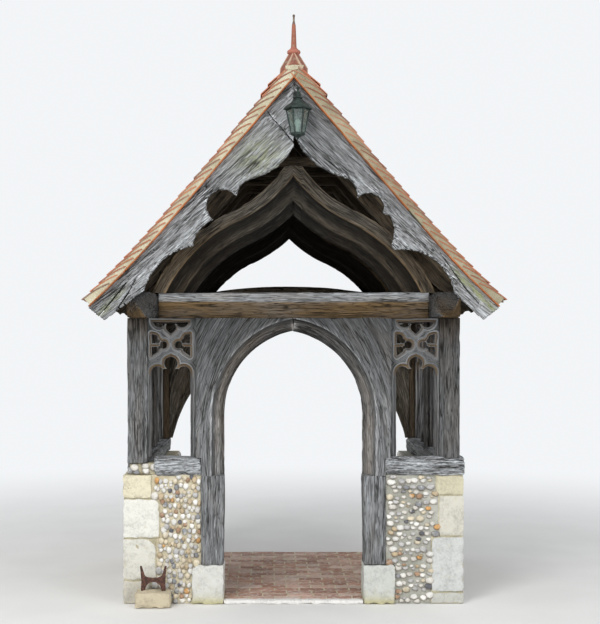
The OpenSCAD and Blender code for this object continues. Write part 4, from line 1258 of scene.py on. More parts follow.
def make_tracery():
    """The light beside the doorway and the two frames behind it, on both sides."""
    jamb, slim_jamb = 0.052, 0.027
    width, bay_w = post_in - arch_out, mid_front - post_d
    front = pierced_panel(panel_field(width, (jamb, slim_jamb), 1), width, 0.006)
    beside = pierced_panel(panel_field(bay_w, (jamb, jamb), 2), bay_w, 0.0085)
    for side, word in SIDES:
        def in_front(points):
            across, up, depth = points.T
            return np.column_stack([side * (arch_out + across), light_front + depth, up])

        def in_bay(start):
            back = side_light_x + LIGHT_T
            return lambda p: np.column_stack([side * (back - p[:, 2]), start + p[:, 0], p[:, 1]])

        place_lights(f"front_light_{word}", [(*front, in_front)], 0.0)
        bays = [(*beside, in_bay(start)) for start in (post_d, mid_back)]
        place_lights(f"side_lights_{word}", bays, 0.1)


# Tiles

TILE_W, TILE_LENGTH, TILE_T, GAUGE = 0.165, 0.265, 0.011, 0.1
TILE_TINTS = [rgb(170, 108, 82), rgb(186, 122, 92), rgb(158, 104, 84), rgb(190, 136, 108),
              rgb(150, 108, 92), rgb(176, 128, 102), rgb(178, 112, 84), rgb(146, 114, 98)]
MORTAR_BACK, MISSING_SLIP, SLIP_PITCH = 0.165, 1.67, 0.17
LAY_SLOPE, EAVES_LENGTH, TILE_GAP, TILE_CLEAR, UNDER_COURSE_SINK = 0.12, 0.165, 0.002, 0.0045, 0.014
# How far the tiles usually lie out of place: along the slope, askew, in height and sideways
TILE_SCATTER = (0.0025, 0.006, 0.0012, 0.001)


def tile_rows():
    """The nose's distance from the ridge, the length, start and width of every tile of a slope."""
    rows = []
    for course in range(int((slope_length - 0.02) / GAUGE) + 1):
        nose = slope_length - 0.004 - course * GAUGE
        length = min(TILE_LENGTH, nose - 0.012)
        start = verge_y + TILE_GAP
        first = TILE_W * 1.5 if course % 2 else TILE_W
        while start < porch_depth - 0.01:
            width = min(first, porch_depth - start)
            rows.append((nose, length, start, width - TILE_GAP))
            start += width
            first = TILE_W
    for start in np.arange(verge_y + TILE_GAP + TILE_W / 2, porch_depth - TILE_W, TILE_W):
        rows.append((slope_length - 0.006, EAVES_LENGTH, start, TILE_W - TILE_GAP))
    return np.array(rows)


def verge_rise(along):
    """How far the verge is bedded up towards the ridge."""
    return 0.004 + 0.018 * np.clip((1.0 - along) / 0.3, 0, 1)


def lay_tiles(shape, side, rng):
    """Adds the tiles of a slope, each a little out of place, dipping to the mortar at the verge."""
    share, faces = box_grid((6, 3, 1))
    rows = tile_rows()
    count = len(rows)
    nose, length, start, width = (rows[:, k, None] for k in range(4))
    slide, skew, sink = (rng.normal(0, usual, (count, 1)) for usual in TILE_SCATTER[:3])
    sink = sink + TILE_CLEAR + UNDER_COURSE_SINK * (length == EAVES_LENGTH)
    up, aside, thick = 1 - share[:, 0], share[:, 1], share[:, 2]
    y = start + aside * width + rng.normal(0, TILE_SCATTER[3], (count, 1))
    verge = np.clip(1 - (y - verge_y) / MORTAR_BACK, 0, 1) * (start < verge_y + 0.01)
    head = up * length
    along = nose - np.abs(slide) - head + skew * (aside - 0.5) - 0.003 * (1 - thick) * (up == 0)
    camber, sideways_camber = 0.0025, 0.0018
    crown = camber * np.sin(up * math.pi) + sideways_camber * (1 - (2 * aside - 1)**2)
    rise = verge_rise(along)
    dip = (0.55 + 20 * rise) * np.clip(head - 0.05, 0, None)**2
    drop = LAY_SLOPE * head + verge * (dip - rise) + sink - crown + TILE_T * (1 - thick)
    xz = roof_point(np.maximum(along, 0.002), drop)
    points = np.stack([side * xz[..., 0], y, xz[..., 1]], -1).reshape(-1, 3)
    tints = np.array(TILE_TINTS)[rng.integers(0, len(TILE_TINTS), count)]
    # The last factor is painted shade: it darkens the right slope's tiles and lightens the left's a little.
    tints = tints * rng.uniform(0.82, 1.12, (count, 1)) * (0.94 - 0.09 * side)
    shape.add(points, repeated(faces, len(share), count), tint=np.repeat(tints, len(share), 0))


def lay_slips(shape, side, rng):
    """Adds the tiles on edge under the verge's mortar, of which one is missing on the right."""
    share, faces = box_grid((6, 3, 1))
    for slip in np.arange(0.06, slope_length - 0.02, SLIP_PITCH):
        if side > 0 and abs(slip - MISSING_SLIP) < SLIP_PITCH / 2:
            continue
        end = min(slip + SLIP_PITCH - 0.003, slope_length - 0.012)
        drop = 0.0805 + 0.009 * share[:, 2] + rng.normal(0, 0.0006)
        x, z = roof_point(slip + share[:, 0] * (end - slip), drop).T
        y = verge_y + 0.0015 + share[:, 1] * 0.16 + abs(rng.normal(0, 0.002))
        tint = np.array(rgb(186, 112, 68)) * rng.uniform(0.6, 1.05)
        shape.add(np.column_stack([side * x, y, z]), faces, tint=tint)


def slope_slab(places, ys, drops, cells, rise=0.0):
    """Rings of a slab that follows the slope between two drops, from ys[0] to ys[1].

    Its top is raised by rise at ys[0], and by less and less towards ys[1]."""
    line = np.linspace(*ys, cells + 1)
    ring = [(y, drops[0] - rise * (ys[1] - y) / (ys[1] - ys[0])) for y in line] + [(ys[1], sum(drops) / 2)]
    ring += [(y, drops[1]) for y in line[::-1]]
    ring += [(ys[0], drops[0] * share + drops[1] * (1 - share)) for share in (0.3, 0.7)]
    columns = []
    for y, drop in ring:
        x, z = roof_point(places, drop).T
        columns.append(np.column_stack([np.maximum(x, 0.0), np.full(len(x), y), z]))
    return np.stack(columns, 1)


def make_tiles():
    """Each slope's tiles, the mortar at its verge and the boards under it."""
    for side, word in SIDES:
        rng = np.random.default_rng(seed_of(word) + 7)
        shape = Shape()
        lay_tiles(shape, side, rng)
        lay_slips(shape, side, rng)
        shape.build(f"roof_tiles_{word}", tile, "clay_tile")
        places = stations(0.012, slope_length - 0.03, 0.035)
        verge_end = verge_y + MORTAR_BACK
        bedding = slope_slab(places, (verge_y + 0.007, verge_end), (0.018, 0.081), 8, verge_rise(places))
        ragged = noise(bedding.reshape(-1, 3), seed_of(word), layers=3, wave=0.03, depth=0.0014)
        lime = roof_mortar if side < 0 else shaded_mortar
        build(f"verge_mortar_{word}", *skin(on_side(side, bedding)), lime, "clay_tile", (), wear=ragged)
        boards = slope_slab(places, (verge_end, porch_depth), (0.052, TILE_BED), 40)
        timber(f"roof_boards_{word}", on_side(side, boards), [], inner=True, shelter=0.5, tone=0.8, ends=0)


def make_ridge_front(shape):
    """The two tiles on each side that lie on the verge under the finial."""
    share, faces = box_grid((6, 4, 1))
    inner, highest = 0.05, ridge_z - 0.082
    for side, _ in SIDES:
        for outer, fall, sink in ((0.223, 0.851, 0), (0.283, 0.93, 0.0145)):
            x = inner + (outer - inner) * share[:, 0]
            z = highest - (x - 0.075) * fall - sink + TILE_T * share[:, 2]
            points = np.column_stack([side * x, verge_y + 0.004 + 0.17 * share[:, 1], z])
            warp = noise(points, 6, wave=0.1, depth=0.0012)[:, None]
            shape.add(points + warp, faces, tint=TILE_TINTS[6])


def make_ridge():
    """The ridge tiles and the mortar beside them."""
    low, high = local_box("ridge_tiles")
    wing, thick, count = 0.15, 0.019, 7
    shape = Shape()
    rng = np.random.default_rng(5)
    length = (high[1] - low[1]) / count
    apex = np.array([0, ridge_z + thick / math.cos(PITCH)])
    upper = [apex + SLOPE_DOWN * wing * share for share in (1, 0.6, 0.25)]
    inner = [point - SLOPE_OUT * thick for point in upper]
    outline = [*upper, apex - (0, 0.004), *(point * (-1, 1) for point in upper[::-1])]
    outline += [*(point * (-1, 1) for point in inner), (0, ridge_z), *inner[::-1]]
    outline = rounded(outline, 0.005, 0.03)
    make_ridge_front(shape)
    for number in range(count):
        start = low[1] + number * length + 0.002
        points, faces = skin(prism(outline, "y", start, start + length - 0.004, 0.06))
        points = points + noise(points, number, wave=0.2)[:, None] * [0.001, 0, 0.0012]
        points[:, 2] = np.minimum(points[:, 2], high[2])
        tint = np.array(TILE_TINTS[int(rng.integers(0, 4))]) * rng.uniform(0.9, 1.15)
        shape.add(points, faces, tint=tint)
    shape.build("ridge_tiles", tile, "clay_tile", smooth=40)
    for side, word in SIDES:
        centre = SLOPE_DOWN * (wing - 0.004) + [0, ridge_z] + SLOPE_OUT * 0.006
        bed = prism(arc(centre, 0.013, 0, 2 * math.pi, 8)[:-1], "y", low[1], high[1] - 0.004, 0.03)
        points, faces = skin(on_side(side, bed))
        build(f"ridge_mortar_{word}", points, faces, roof_mortar, "clay_tile", (),
              wear=noise(points, seed_of(word), wave=0.05, depth=0.003))


# Flint walls

FLINT_TINTS = [rgb(246, 244, 238), rgb(224, 220, 212), rgb(198, 197, 196), rgb(222, 210, 184),
               rgb(200, 180, 148), rgb(210, 160, 100), rgb(174, 140, 112), rgb(144, 146, 150),
               rgb(98, 100, 108)]
FLINT_SHARES = {"warm": [0.22, 0.17, 0.11, 0.14, 0.15, 0.05, 0.08, 0.05, 0.03],
                "grey": [0.26, 0.25, 0.18, 0.1, 0.06, 0.01, 0.05, 0.06, 0.03]}
# Painted shade, with some soil: a colour that darkens each flint towards its rim and most at its lower side.
FLINT_SHADE = rgb(108, 94, 74)
FLINT_SHADE_SHARE = {"warm": 0.45, "grey": 0.75}
# A flint's rings: the share of its reach, and the share of its height
FLINT_RINGS = ((0.94, -0.5), (1.0, 0.3), (0.86, 0.8), (0.45, 1.0))
FLINT_SINK, FLINT_PROUD, SPOKES, NEIGHBOURS, FACE_MARGIN = 0.006, (0.005, 0.018), 10, 14, 0.012


def flint_sites(rng, width, height, size, flat):
    """The middles of flints in rough courses, within a face."""
    sites = []
    course = size * flat
    for row in range(round(height / course)):
        x = rng.uniform(-0.5, 0.5) * size
        while x < width:
            x += size * rng.uniform(0.62, 1.4)
            rise = 0.25 * course * math.sin(x / size * 0.7 + row * 2.1)
            sites.append((x - size / 2, (row + 0.5) * course + rise + rng.normal(0, 0.13) * course))
    sites = np.array(sites)
    sites += rng.normal(0, 0.07, sites.shape) * size
    return sites[(sites > FACE_MARGIN).all(1) & (sites < np.array([width, height]) - FACE_MARGIN).all(1)]


def flint_reach(sites, ray, face_size, size, gap):
    """How far each flint reaches along its rays, and how far it may reach at most."""
    nearest = np.argsort(np.linalg.norm(sites[:, None] - sites[None], axis=2), 1)[:, 1:NEIGHBOURS + 1]
    to_other = sites[nearest] - sites[:, None]
    facing = np.einsum("nkd,nsd->nks", to_other, ray)
    half = (to_other**2).sum(2)[:, :, None] / 2
    reach = np.where(facing > 1e-6, half / np.maximum(facing, 1e-6), 9).min(1)
    most = np.full(reach.shape, size * 0.85)
    for axis, limit in enumerate(face_size):
        ahead = np.where(ray[..., axis] > 0, limit - sites[:, None, axis], sites[:, None, axis])
        most = np.minimum(most, (ahead - 0.003) / np.maximum(abs(ray[..., axis]), 1e-6))
    reach = np.minimum(reach - gap / 2, most)
    for _ in range(2):
        reach = 0.5 * reach + 0.25 * (np.roll(reach, 1, 1) + np.roll(reach, -1, 1))
    return 0.45 * reach + 0.55 * np.minimum(reach * 1.15, reach.mean(1, keepdims=True)), most


def flint_faces(count):
    """The quads and triangles of count flints, each of them four rings, a top and a base."""
    spoke = np.arange(SPOKES)
    after = np.roll(spoke, -1)
    top, base = 4 * SPOKES, 4 * SPOKES + 1
    quads = np.concatenate([np.stack([spoke, after, after + SPOKES, spoke + SPOKES], -1) + k * SPOKES
                            for k in range(3)])
    tip = np.stack([spoke + 3 * SPOKES, after + 3 * SPOKES, np.full(SPOKES, top)], -1)
    under = np.stack([after, spoke, np.full(SPOKES, base)], -1)
    return [repeated(quads, base + 1, count), repeated(np.concatenate([tip, under]), base + 1, count)]


def flint_tints(rng, ray, blend):
    """A colour for each point of the flints, with painted shade towards a flint's rim and most at its lower
    side.
    """
    kinds = rng.choice(len(FLINT_TINTS), len(ray), p=FLINT_SHARES[blend])
    tints = np.array(FLINT_TINTS)[kinds] * rng.uniform(0.85, 1.08, (len(ray), 1))
    below = np.clip(0.5 - 0.85 * ray[..., 1], 0.1, 1)
    whole = np.ones_like(below)
    rings = [whole, *(share * below for share in (0.9, FLINT_SHADE_SHARE[blend], 0.1))]
    painted_shade = np.hstack([*rings, 0 * whole[:, :1], whole[:, :1]])[..., None]
    return (tints[:, None] * (1 - painted_shade) + np.array(FLINT_SHADE) * painted_shade).reshape(-1, 3)


def cobbles(shape, plane, width, height, size, seed, flat=0.85, gap=0.006, dome=0.6, blend="warm", keep=None,
            long=1.0, fill=(0.9, 1.15)):
    """Flints laid in rough courses on a wall's face.

    plane is the face's origin, its way across, its way up and its way out. Each flint fills
    the part of the face that is nearer to its middle than to any other, less the mortar."""
    origin, right, up, out = (np.array(v, float) for v in plane)
    rng = np.random.default_rng(seed)
    sites = flint_sites(rng, width, height, size, flat)
    sites = sites[keep(sites)] if keep else sites
    count = len(sites)
    ray = ray_at(rng.uniform(0, 1, (count, 1)) + np.arange(SPOKES) * 2 * math.pi / SPOKES)
    reach, most = flint_reach(sites, ray, (width, height), size, gap)
    reach *= rng.uniform(*fill, (count, 1)) * rng.uniform(0.86, 1.08, (count, SPOKES))
    reach = np.minimum(reach * np.hypot(ray[..., 0] * long, ray[..., 1] / long), most)
    tall = np.clip(reach.mean(1) * dome * rng.uniform(0.8, 1.6, count), *FLINT_PROUD)
    rings = []
    for share, lift in FLINT_RINGS:
        lean = 1 + 0.12 * rng.normal(size=(count, SPOKES)) * (lift > 0.3)
        high = tall[:, None] * lift * lean
        flat_ring = sites[:, None] + ray * (reach * share)[..., None]
        rings.append(np.dstack([flat_ring, np.maximum(high, -FLINT_SINK)]))
    top = np.column_stack([sites, tall])[:, None]
    base = np.column_stack([sites, np.full(count, -FLINT_SINK)])[:, None]
    local = np.concatenate([*rings, top, base], 1).reshape(-1, 3)
    points = origin + local @ np.array([right, up, out])
    shape.add(points, flint_faces(count), tint=flint_tints(rng, ray, blend))


def cover(node, material):
    """Gives a CAD node that stays as it is its own material."""
    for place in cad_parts[node].material_slots:
        place.material = material


def make_walls():
    """The flints of the dwarf walls. The CAD walls stay as the mortar between them."""
    depth, inside_h = porch_depth - wall_back, wall_h - floor_top
    for side, word in SIDES:
        left = side < 0
        blend = "warm" if left else "grey"
        for node in (f"front_wall_{word}", f"side_wall_{word}"):
            cover(node, mortar if left else grey_mortar)

        def face(x, y, z, way, out):
            """A wall's face from its lowest point at a place, with its way across and its way out."""
            return (side * x, y, z), way, (0, 0, 1), out

        def clear_of_stones(sites):
            """Whether a site of the front face lies beside the corner stones and the door stone."""
            across = sites[:, 0] + door_post_out
            inner = np.full(len(sites), wall_out)
            floor_z = 0
            for top, length in QUOINS[word]:
                inner[(sites[:, 1] >= floor_z) & (sites[:, 1] < top)] = wall_out - length
                floor_z = top
            over_stone = (across > stone_out + 0.004) | (sites[:, 1] > door_stone_h)
            return (across < inner - 0.012) & over_stone

        size, flat, gap, long, fill = (0.046, 0.94, 0.004, 0.9, 0.9) if left else (0.064, 0.7, 0.01, 1.2, 0.7)
        front, outer, inner = Shape(), Shape(), Shape()
        cobbles(front, face(door_post_out, flint_face, 0, (side, 0, 0), (0, -1, 0)),
                wall_out - door_post_out, wall_h, size, seed=11 + side, flat=flat, gap=gap, blend=blend,
                keep=clear_of_stones, long=long, fill=(fill, 1.12))
        cobbles(front, face(stone_out, wall_back, floor_top, (side, 0, 0), (0, 1, 0)),
                side_wall_in - stone_out - 0.005, inside_h, size=0.06, seed=31 + side, blend="grey")
        if left:
            cobbles(front, face(sill_end, QUOIN_RECESS + 0.02, wall_h, (-1, 0, 0), (0, -1, 0)),
                    post_out - sill_end, left_post_foot - wall_h, size=0.085, seed=3, flat=0.5, dome=0.5,
                    blend="grey")
        cobbles(outer, face(wall_out, wall_back, 0, (0, 1, 0), (side, 0, 0)), depth, wall_h, size=0.05,
                seed=51 + side, blend=blend)
        cobbles(inner, face(side_wall_in, wall_back, floor_top, (0, 1, 0), (-side, 0, 0)), depth, inside_h,
                size=0.06, seed=71 + side, blend="grey")
        for place, shape in (("front", front), ("side", outer), ("inside", inner)):
            shape.build(f"flints_{place}_{word}", flint, "flint_walling", (), smooth=60)


# Dressed stone

# The corner stones from foot to top: the height of a stone's top, and its length along the front
QUOINS = {"left": [(0.202, 0.24), (0.565, 0.285), (0.908, 0.315), (wall_h, 0.245)],
          "right": [(0.1, 0.285), (0.583, 0.278), (0.94, 0.216), (wall_h, 0.24)]}
QUOIN_TINTS = {"left": [rgb(206, 202, 190), rgb(222, 220, 210), rgb(232, 231, 223), rgb(228, 220, 194)],
               "right": [rgb(198, 198, 190), rgb(208, 210, 207), rgb(212, 209, 196), rgb(206, 200, 174)]}
BROKEN_CORNERS = {"left": {1: 0.1, 2: 0.045}, "right": {1: 0.05}}
DOOR_STONE_LOOKS = {"left": (0.07, rgb(218, 218, 212)), "right": (0.02, rgb(206, 208, 202))}
STONE_FOOT = rgb(196, 190, 150)
QUOIN_RECESS, QUOIN_PROUD = 0.01, 0.004


def round_corner(points, corner, radius, toward):
    """Rounds a block's front outline at a corner (x, z) that points toward (sign x, sign z)."""
    corner, toward = np.array(corner, float), np.array(toward, float)
    centre = corner - toward * radius
    reach = (points[:, [0, 2]] - centre) * toward
    inside = (reach > 0).all(1)
    length = np.linalg.norm(reach[inside], axis=1)
    square = reach[inside].max(1)
    points[np.ix_(inside, [0, 2])] = centre + reach[inside] * (square / length)[:, None] * toward
    return points


def make_quoins(side, word):
    """The corner stones of a side, with the mortar in their joints and under the left post."""
    shape, joints = Shape(), Shape()
    base, inset = 0, 0.004
    for number, (top, length) in enumerate(QUOINS[word]):
        inner = wall_out - length
        high = (wall_out + QUOIN_PROUD, wall_back, top - 0.004)
        broken = BROKEN_CORNERS[word].get(number, 0)
        shape.block((inner, QUOIN_RECESS, base + 0.003), high, radius=0.014, cell=0.022,
                    seed=40 + number + side, rough=0.005, side=side,
                    shaped=lambda p: round_corner(p, (inner, high[2]), broken, (-1, 1)),
                    tint=QUOIN_TINTS[word][number])
        joints.block((inner - inset, QUOIN_RECESS + 0.01, base), (wall_out - inset, wall_back, top),
                     radius=0.003, cell=0.05, seed=number, rough=0.001, side=side)
        base = top
    shape.build(f"quoins_{word}", limestone, "limestone")
    if side < 0:
        joints.block((sill_end, QUOIN_RECESS + 0.02, wall_h), (post_out - 0.01, post_d, left_post_foot),
                     radius=0.01, cell=0.02, seed=9, rough=0.006, side=side)
    joints.build(f"quoin_joints_{word}", roof_mortar, "flint_walling", (), smooth=45)


def make_stones():
    """The corner stones, the door posts' stones, the scraper's stone and the kerb."""
    for side, word in SIDES:
        make_quoins(side, word)
        corner_r, colour = DOOR_STONE_LOOKS[word]
        corner = (stone_out, door_stone_h)
        stone = Shape()

        def stained(points):
            foot = hump(points[:, 2:], 0, 0.06)
            return np.array(colour) * (1 - foot) + np.array(STONE_FOOT) * foot

        stone.block((door_half, stone_front, 0), (stone_out, wall_back, door_stone_h), radius=0.013,
                    cell=0.018, seed=60 + side, rough=0.005, side=side,
                    shaped=lambda p: round_corner(p, corner, corner_r, (1, 1)), tint=stained)
        stone.build(f"door_stone_{word}", limestone, "limestone")
    low, high = local_box("floor_kerb")

    def kerb_edge(points):
        """The kerb's uneven front."""
        in_front = points[:, 1] < (low[1] + high[1]) / 2
        points[:, 1] += noise(points, 3, wave=0.25, depth=0.008) * in_front + 0.006
        return points

    stone, kerb = Shape(), Shape()
    stone.block(*local_box("boot_scraper_stone"), radius=0.016, cell=0.02, seed=71, rough=0.006,
                tint=rgb(206, 194, 168))
    stone.build("boot_scraper_stone", limestone, "limestone")
    kerb.block(low, high, radius=0.008, cell=0.014, seed=72, rough=0.002, shaped=kerb_edge,
               tint=rgb(240, 238, 234))
    kerb.build("floor_kerb", limestone, "limestone")


# Paving

BRICK_TINTS = [rgb(194, 152, 132), rgb(206, 172, 156), rgb(172, 130, 112), rgb(216, 190, 176),
               rgb(184, 146, 130)]


def make_paving():
    """The brick floor, in rows from side to side that are laid half a brick apart."""
    brick_l, brick_w, joint, least = 0.215, 0.102, 0.01, 0.03
    shape, bed = Shape(), Shape()
    rng = np.random.default_rng(17)
    rows = round((porch_depth - kerb_back) / (brick_w + joint))
    pitch = (porch_depth - kerb_back) / rows
    for row in range(rows):
        low_y = kerb_back + row * pitch + joint / 2
        high_y = low_y + pitch - joint
        half = door_half if high_y < wall_back else side_wall_in
        for start in np.arange(-half - (row % 2) * brick_l / 2, half, brick_l + joint):
            left, right = max(start, -half), min(start + brick_l, half)
            if right - left < least:
                continue
            top = floor_top - rng.uniform(0, 0.004)
            seed = int(rng.integers(1, 99))
            tint = np.array(BRICK_TINTS[int(rng.integers(0, 5))]) * rng.uniform(0.85, 1.15)
            shape.block((left, low_y, 0.002), (right, high_y, top), radius=0.006, cell=0.035, seed=seed,
                        rough=0.001, tint=tint)
    shape.build("paving_bricks", brick, "brick_paving", ["porch_floor"])
    for half, start, end in ((door_half, kerb_back, wall_back), (side_wall_in, wall_back, porch_depth)):
        bed.block((-half, start, 0), (half, end, floor_top - 0.006), radius=0.002, cell=0.08, seed=5,
                  rough=0.001)
    bed.build("paving_joints", mortar, "brick_paving", (), smooth=45)


# Lantern, finial and boot scraper

def lathe(shape, profile, sides, centre, base=0.0, **layers):
    """Adds a turned or many-sided solid: profile is (radius, height over base) from foot to top."""
    circle = ray_at(np.arange(sides) * 2 * math.pi / sides)
    rings = [np.column_stack([circle * r, np.full(sides, base + z)]) for r, z in profile]
    shape.add(*skin(np.array(rings) + centre), **layers)


def strut(shape, start, end, width):
    """Adds a square bar with soft edges between two points."""
    start, end = np.array(start, float), np.array(end, float)
    way = unit(end - start)
    aside = unit(np.cross(way, (0.3, 0.2, 1) if abs(way[2]) < 0.9 else (1, 0, 0)))
    other = np.cross(way, aside)
    outline = rounded([(-0.5, -0.5), (0.5, -0.5), (0.5, 0.5), (-0.5, 0.5)], 0.15, 0.5) * width
    section = outline[:, :1] * aside + outline[:, 1:] * other
    shape.add(*skin(np.array([middle + section for middle in (start, (start + end) / 2, end)])))


def make_lantern():
    """The six-sided lantern: a frame of struts between turned ends. Its glass and bulb stay CAD."""
    low, high = local_box("lantern_frame")
    x, y, _ = (low + high) / 2
    stem_top = high[2]
    body_top = stem_top - 0.155
    body_low = body_top - 0.2
    top_r, foot_r, cap_r = 0.104, 0.062, high[0] - x
    pan = [(0.004, -0.05), (0.009, -0.046), (0.007, -0.038), (0.018, -0.03), (0.034, -0.022), (0.04, -0.014)]
    base = [(foot_r - 0.02, -0.014), (foot_r - 0.002, -0.013), (foot_r, -0.009), (foot_r - 0.001, -0.002),
            (foot_r - 0.006, 0)]
    brim = [(top_r - 0.012, 0), (top_r, 0.002), (cap_r - 0.004, 0.0005), (cap_r, 0.004),
            (cap_r - 0.001, 0.01), (0.108, 0.026), (0.081, 0.044), (0.056, 0.064), (0.042, 0.079),
            (0.03, 0.083)]
    crown = [(0.027, 0.08), (0.026, 0.095), (0.039, 0.097), (0.04, 0.1), (0.037, 0.104), (0.02, 0.107)]
    stem = [(0.019, 0.105), (0.019, 0.128), (0.0095, 0.134), (0.0085, 0.142), (0.015, 0.147), (0.008, 0.153),
            (0.006, 0.155)]
    shape = Shape()
    for z, turned in ((body_low, ((pan, 18), (base, 6))), (body_top, ((brim, 6), (crown, 20), (stem, 14)))):
        for profile, sides in turned:
            lathe(shape, profile, sides, (x, y, 0), z)

    def corner(turn, radius, z):
        """A point on one of the six corners at a radius and height."""
        return np.array([x, y, z]) + radius * np.array([math.cos(turn), math.sin(turn), 0])

    sixth, sink = math.pi / 3, 0.008
    for turn in np.arange(6) * sixth:
        top = corner(turn, top_r - 0.006, body_top + 0.003)
        strut(shape, corner(turn, foot_r - sink, body_low - 0.002), top, 0.011)
        for radius, z in ((foot_r - sink, body_low + 0.003), (top_r - sink, body_top - 0.004)):
            strut(shape, corner(turn, radius, z), corner(turn + sixth, radius, z), 0.008)
    shape.build("lantern_frame", lantern_metal, "lantern_metal", smooth=35)
    cover("lantern_glass", glass_material())
    cover("lantern_bulb", bulb_material())
    make_bracket(x, y, stem_top)


def make_bracket(x, y, stem_top):
    """The arm that holds the lantern by its stem, with its wall plate and brace."""
    arm = Shape()
    arm_low, arm_high = local_box("lantern_bracket")
    arm_z, back_y = stem_top + 0.007, arm_high[1] - 0.006
    strut(arm, (x, back_y, arm_z), (x, arm_low[1] + 0.004, arm_z), 0.014)
    knob = [(0.006, 0.013), (0.009, 0.017), (0.013, 0.024), (0.0135, 0.03), (0.009, 0.038), (0.002, 0.0415)]
    lathe(arm, knob, 16, (x, y, 0), stem_top)
    plate_half, plate_h = 0.025, 0.15
    arm.block((x - plate_half, arm_high[1] - 0.008, arm_low[2]),
              (x + plate_half, arm_high[1] + 0.002, arm_low[2] + plate_h), radius=0.003, cell=0.01, seed=5,
              rough=0.0003)
    strut(arm, (x, back_y, arm_low[2] + 0.012), (x, y + 0.045, arm_z - 0.004), 0.009)
    arm.build("lantern_bracket", lantern_metal, "lantern_metal", smooth=35)


def make_finial():
    """The block on the ridge's front end with its spike, and the mortar before it."""
    low, high = local_box("finial")
    half = (high[0] - low[0]) / 2
    centre = (0, (low[1] + high[1]) / 2, 0)
    shoulder, peak = ridge_z - 0.054, ridge_z + 0.086
    spike_h = high[2] - peak
    facet, hip = rgb(142, 92, 78), rgb(206, 182, 156)
    collar, shaft, tip = rgb(176, 112, 96), rgb(156, 98, 80), rgb(110, 92, 84)
    spike = [(0.03, -0.01), (0.044, -0.004), (0.055, 0.005), (0.058, 0.015), (0.055, 0.026), (0.042, 0.036),
             (0.032, 0.042), (0.024, 0.06), (0.0215, 0.12), (0.0185, 0.2), (0.0165, 0.245), (0.0125, 0.262),
             (0.0085, 0.28), (0.008, spike_h - 0.024), (0.0105, spike_h - 0.018), (0.0115, spike_h - 0.011),
             (0.009, spike_h - 0.004), (0.003, spike_h - 0.0005)]
    colours = [collar if r > 0.03 else tip if z > 0.25 else shaft for r, z in spike]
    shape = Shape()
    lathe(shape, spike, 28, centre, peak, tint=np.repeat(colours, 28, 0))
    top_half, wide_cut, top_cut = 0.046, 0.069, 0.004
    rings = []
    for share in np.linspace(0, 1, 9):
        reach, cut = half + (top_half - half) * share, wide_cut + (top_cut - wide_cut) * share
        corners = np.array([(reach, cut), (cut, reach), (-cut, reach), (-reach, cut),
                            (-reach, -cut), (-cut, -reach), (cut, -reach), (reach, -cut)])
        way = np.roll(corners, -1, 0) - corners
        outline = (corners[:, None] + way[:, None] * np.array([0, 0.25, 0.5, 0.75])[:, None]).reshape(-1, 2)
        rings.append(np.column_stack([outline, np.full(len(outline), shoulder + (peak - shoulder) * share)]))
    skirt = rings[0].copy()
    skirt[:, 2] = ridge_z - np.minimum(abs(skirt[:, 0]), half) * math.tan(PITCH) - 0.004
    points, faces = skin(np.array([skirt, *rings]) + centre)
    on_hip = (np.arange(len(points)) % 4 == 0) & (points[:, 2] > shoulder - 0.001)
    tint = np.where(on_hip[:, None], hip, facet)
    shape.add(points + noise(points, 4, wave=0.04, depth=0.0012)[:, None], faces, tint=tint)
    shape.build("finial", tile, "clay_tile", smooth=25)
    front = centre[1] - half
    lump, faces = worn_box((-0.075, front - 0.008, ridge_z - 0.085), (0.088, front + 0.06, ridge_z - 0.034),
                           radius=0.02, cell=0.01, seed=8, rough=0.01)
    build("finial_mortar", lump, [faces], roof_mortar, "clay_tile", ())


def make_scraper():
    """The flat iron boot scraper, with an arch below and two horns above."""
    low, high = local_box("boot_scraper")
    half, foot, tip, lean, bar_z, bar_h, tall = 0.09, 0.017, 0.006, 0.018, 0.08, 0.034, high[2] - low[2]
    arch_r = half - foot
    curve = arc((0, 0.004), arch_r, 0.05, math.pi - 0.05, 16)
    curve[:, 1] = np.minimum(curve[:, 1], bar_z)
    right = [(half + foot, 0), (half + foot * 0.7, bar_z), (half + lean + tip, tall),
             (half + lean - tip, tall), (half - foot * 0.6, bar_z + bar_h * 1.6),
             (half - foot * 2, bar_z + bar_h * 1.1), (0, bar_z + bar_h * 0.9)]
    outline = [*right, *((-x, z) for x, z in right[-2::-1]), (-arch_r, 0), *curve[::-1], (arch_r, 0)]
    outline = rounded(outline, 0.006, 0.012) + [(low[0] + high[0]) / 2, low[2]]
    points, faces = skin(round_ends(prism(outline, "y", low[1], high[1], 0.006), 0.0025))
    pitted = noise(points, 3, wave=0.02, depth=0.0008)
    build("boot_scraper", points, faces, iron, "rusty_iron", wear=pitted)


# Camera, light and floor

SKY_LIGHT, BACKDROP_LIGHT, BACKDROP, LAMP_SIZE = 0.62, 0.93, (0.96, 0.98, 1, 1), 5


def make_camera():
    """The photograph's view: level, straight at the front, with the frame shifted up and right."""
    metres_per_pixel, distance, eye_height, film_width = 0.00865, 9.6, 2.197, 36
    image_width, image_height, middle_line_px, axis_px, horizon_px = 600, 624, 293.5, 270, 350
    data = bpy.data.cameras.new("camera")
    data.sensor_width = film_width
    data.lens = distance / metres_per_pixel * film_width / image_height
    data.shift_x = (image_width / 2 - axis_px) / image_height
    data.shift_y = (horizon_px - image_height / 2) / image_height
    camera = bpy.data.objects.new("camera", data)
    camera.location = ((axis_px - middle_line_px) * metres_per_pixel, FRONT - distance, eye_height)
    camera.rotation_euler = (math.pi / 2, 0, 0)
    bpy.context.scene.collection.objects.link(camera)
    bpy.context.scene.camera = camera


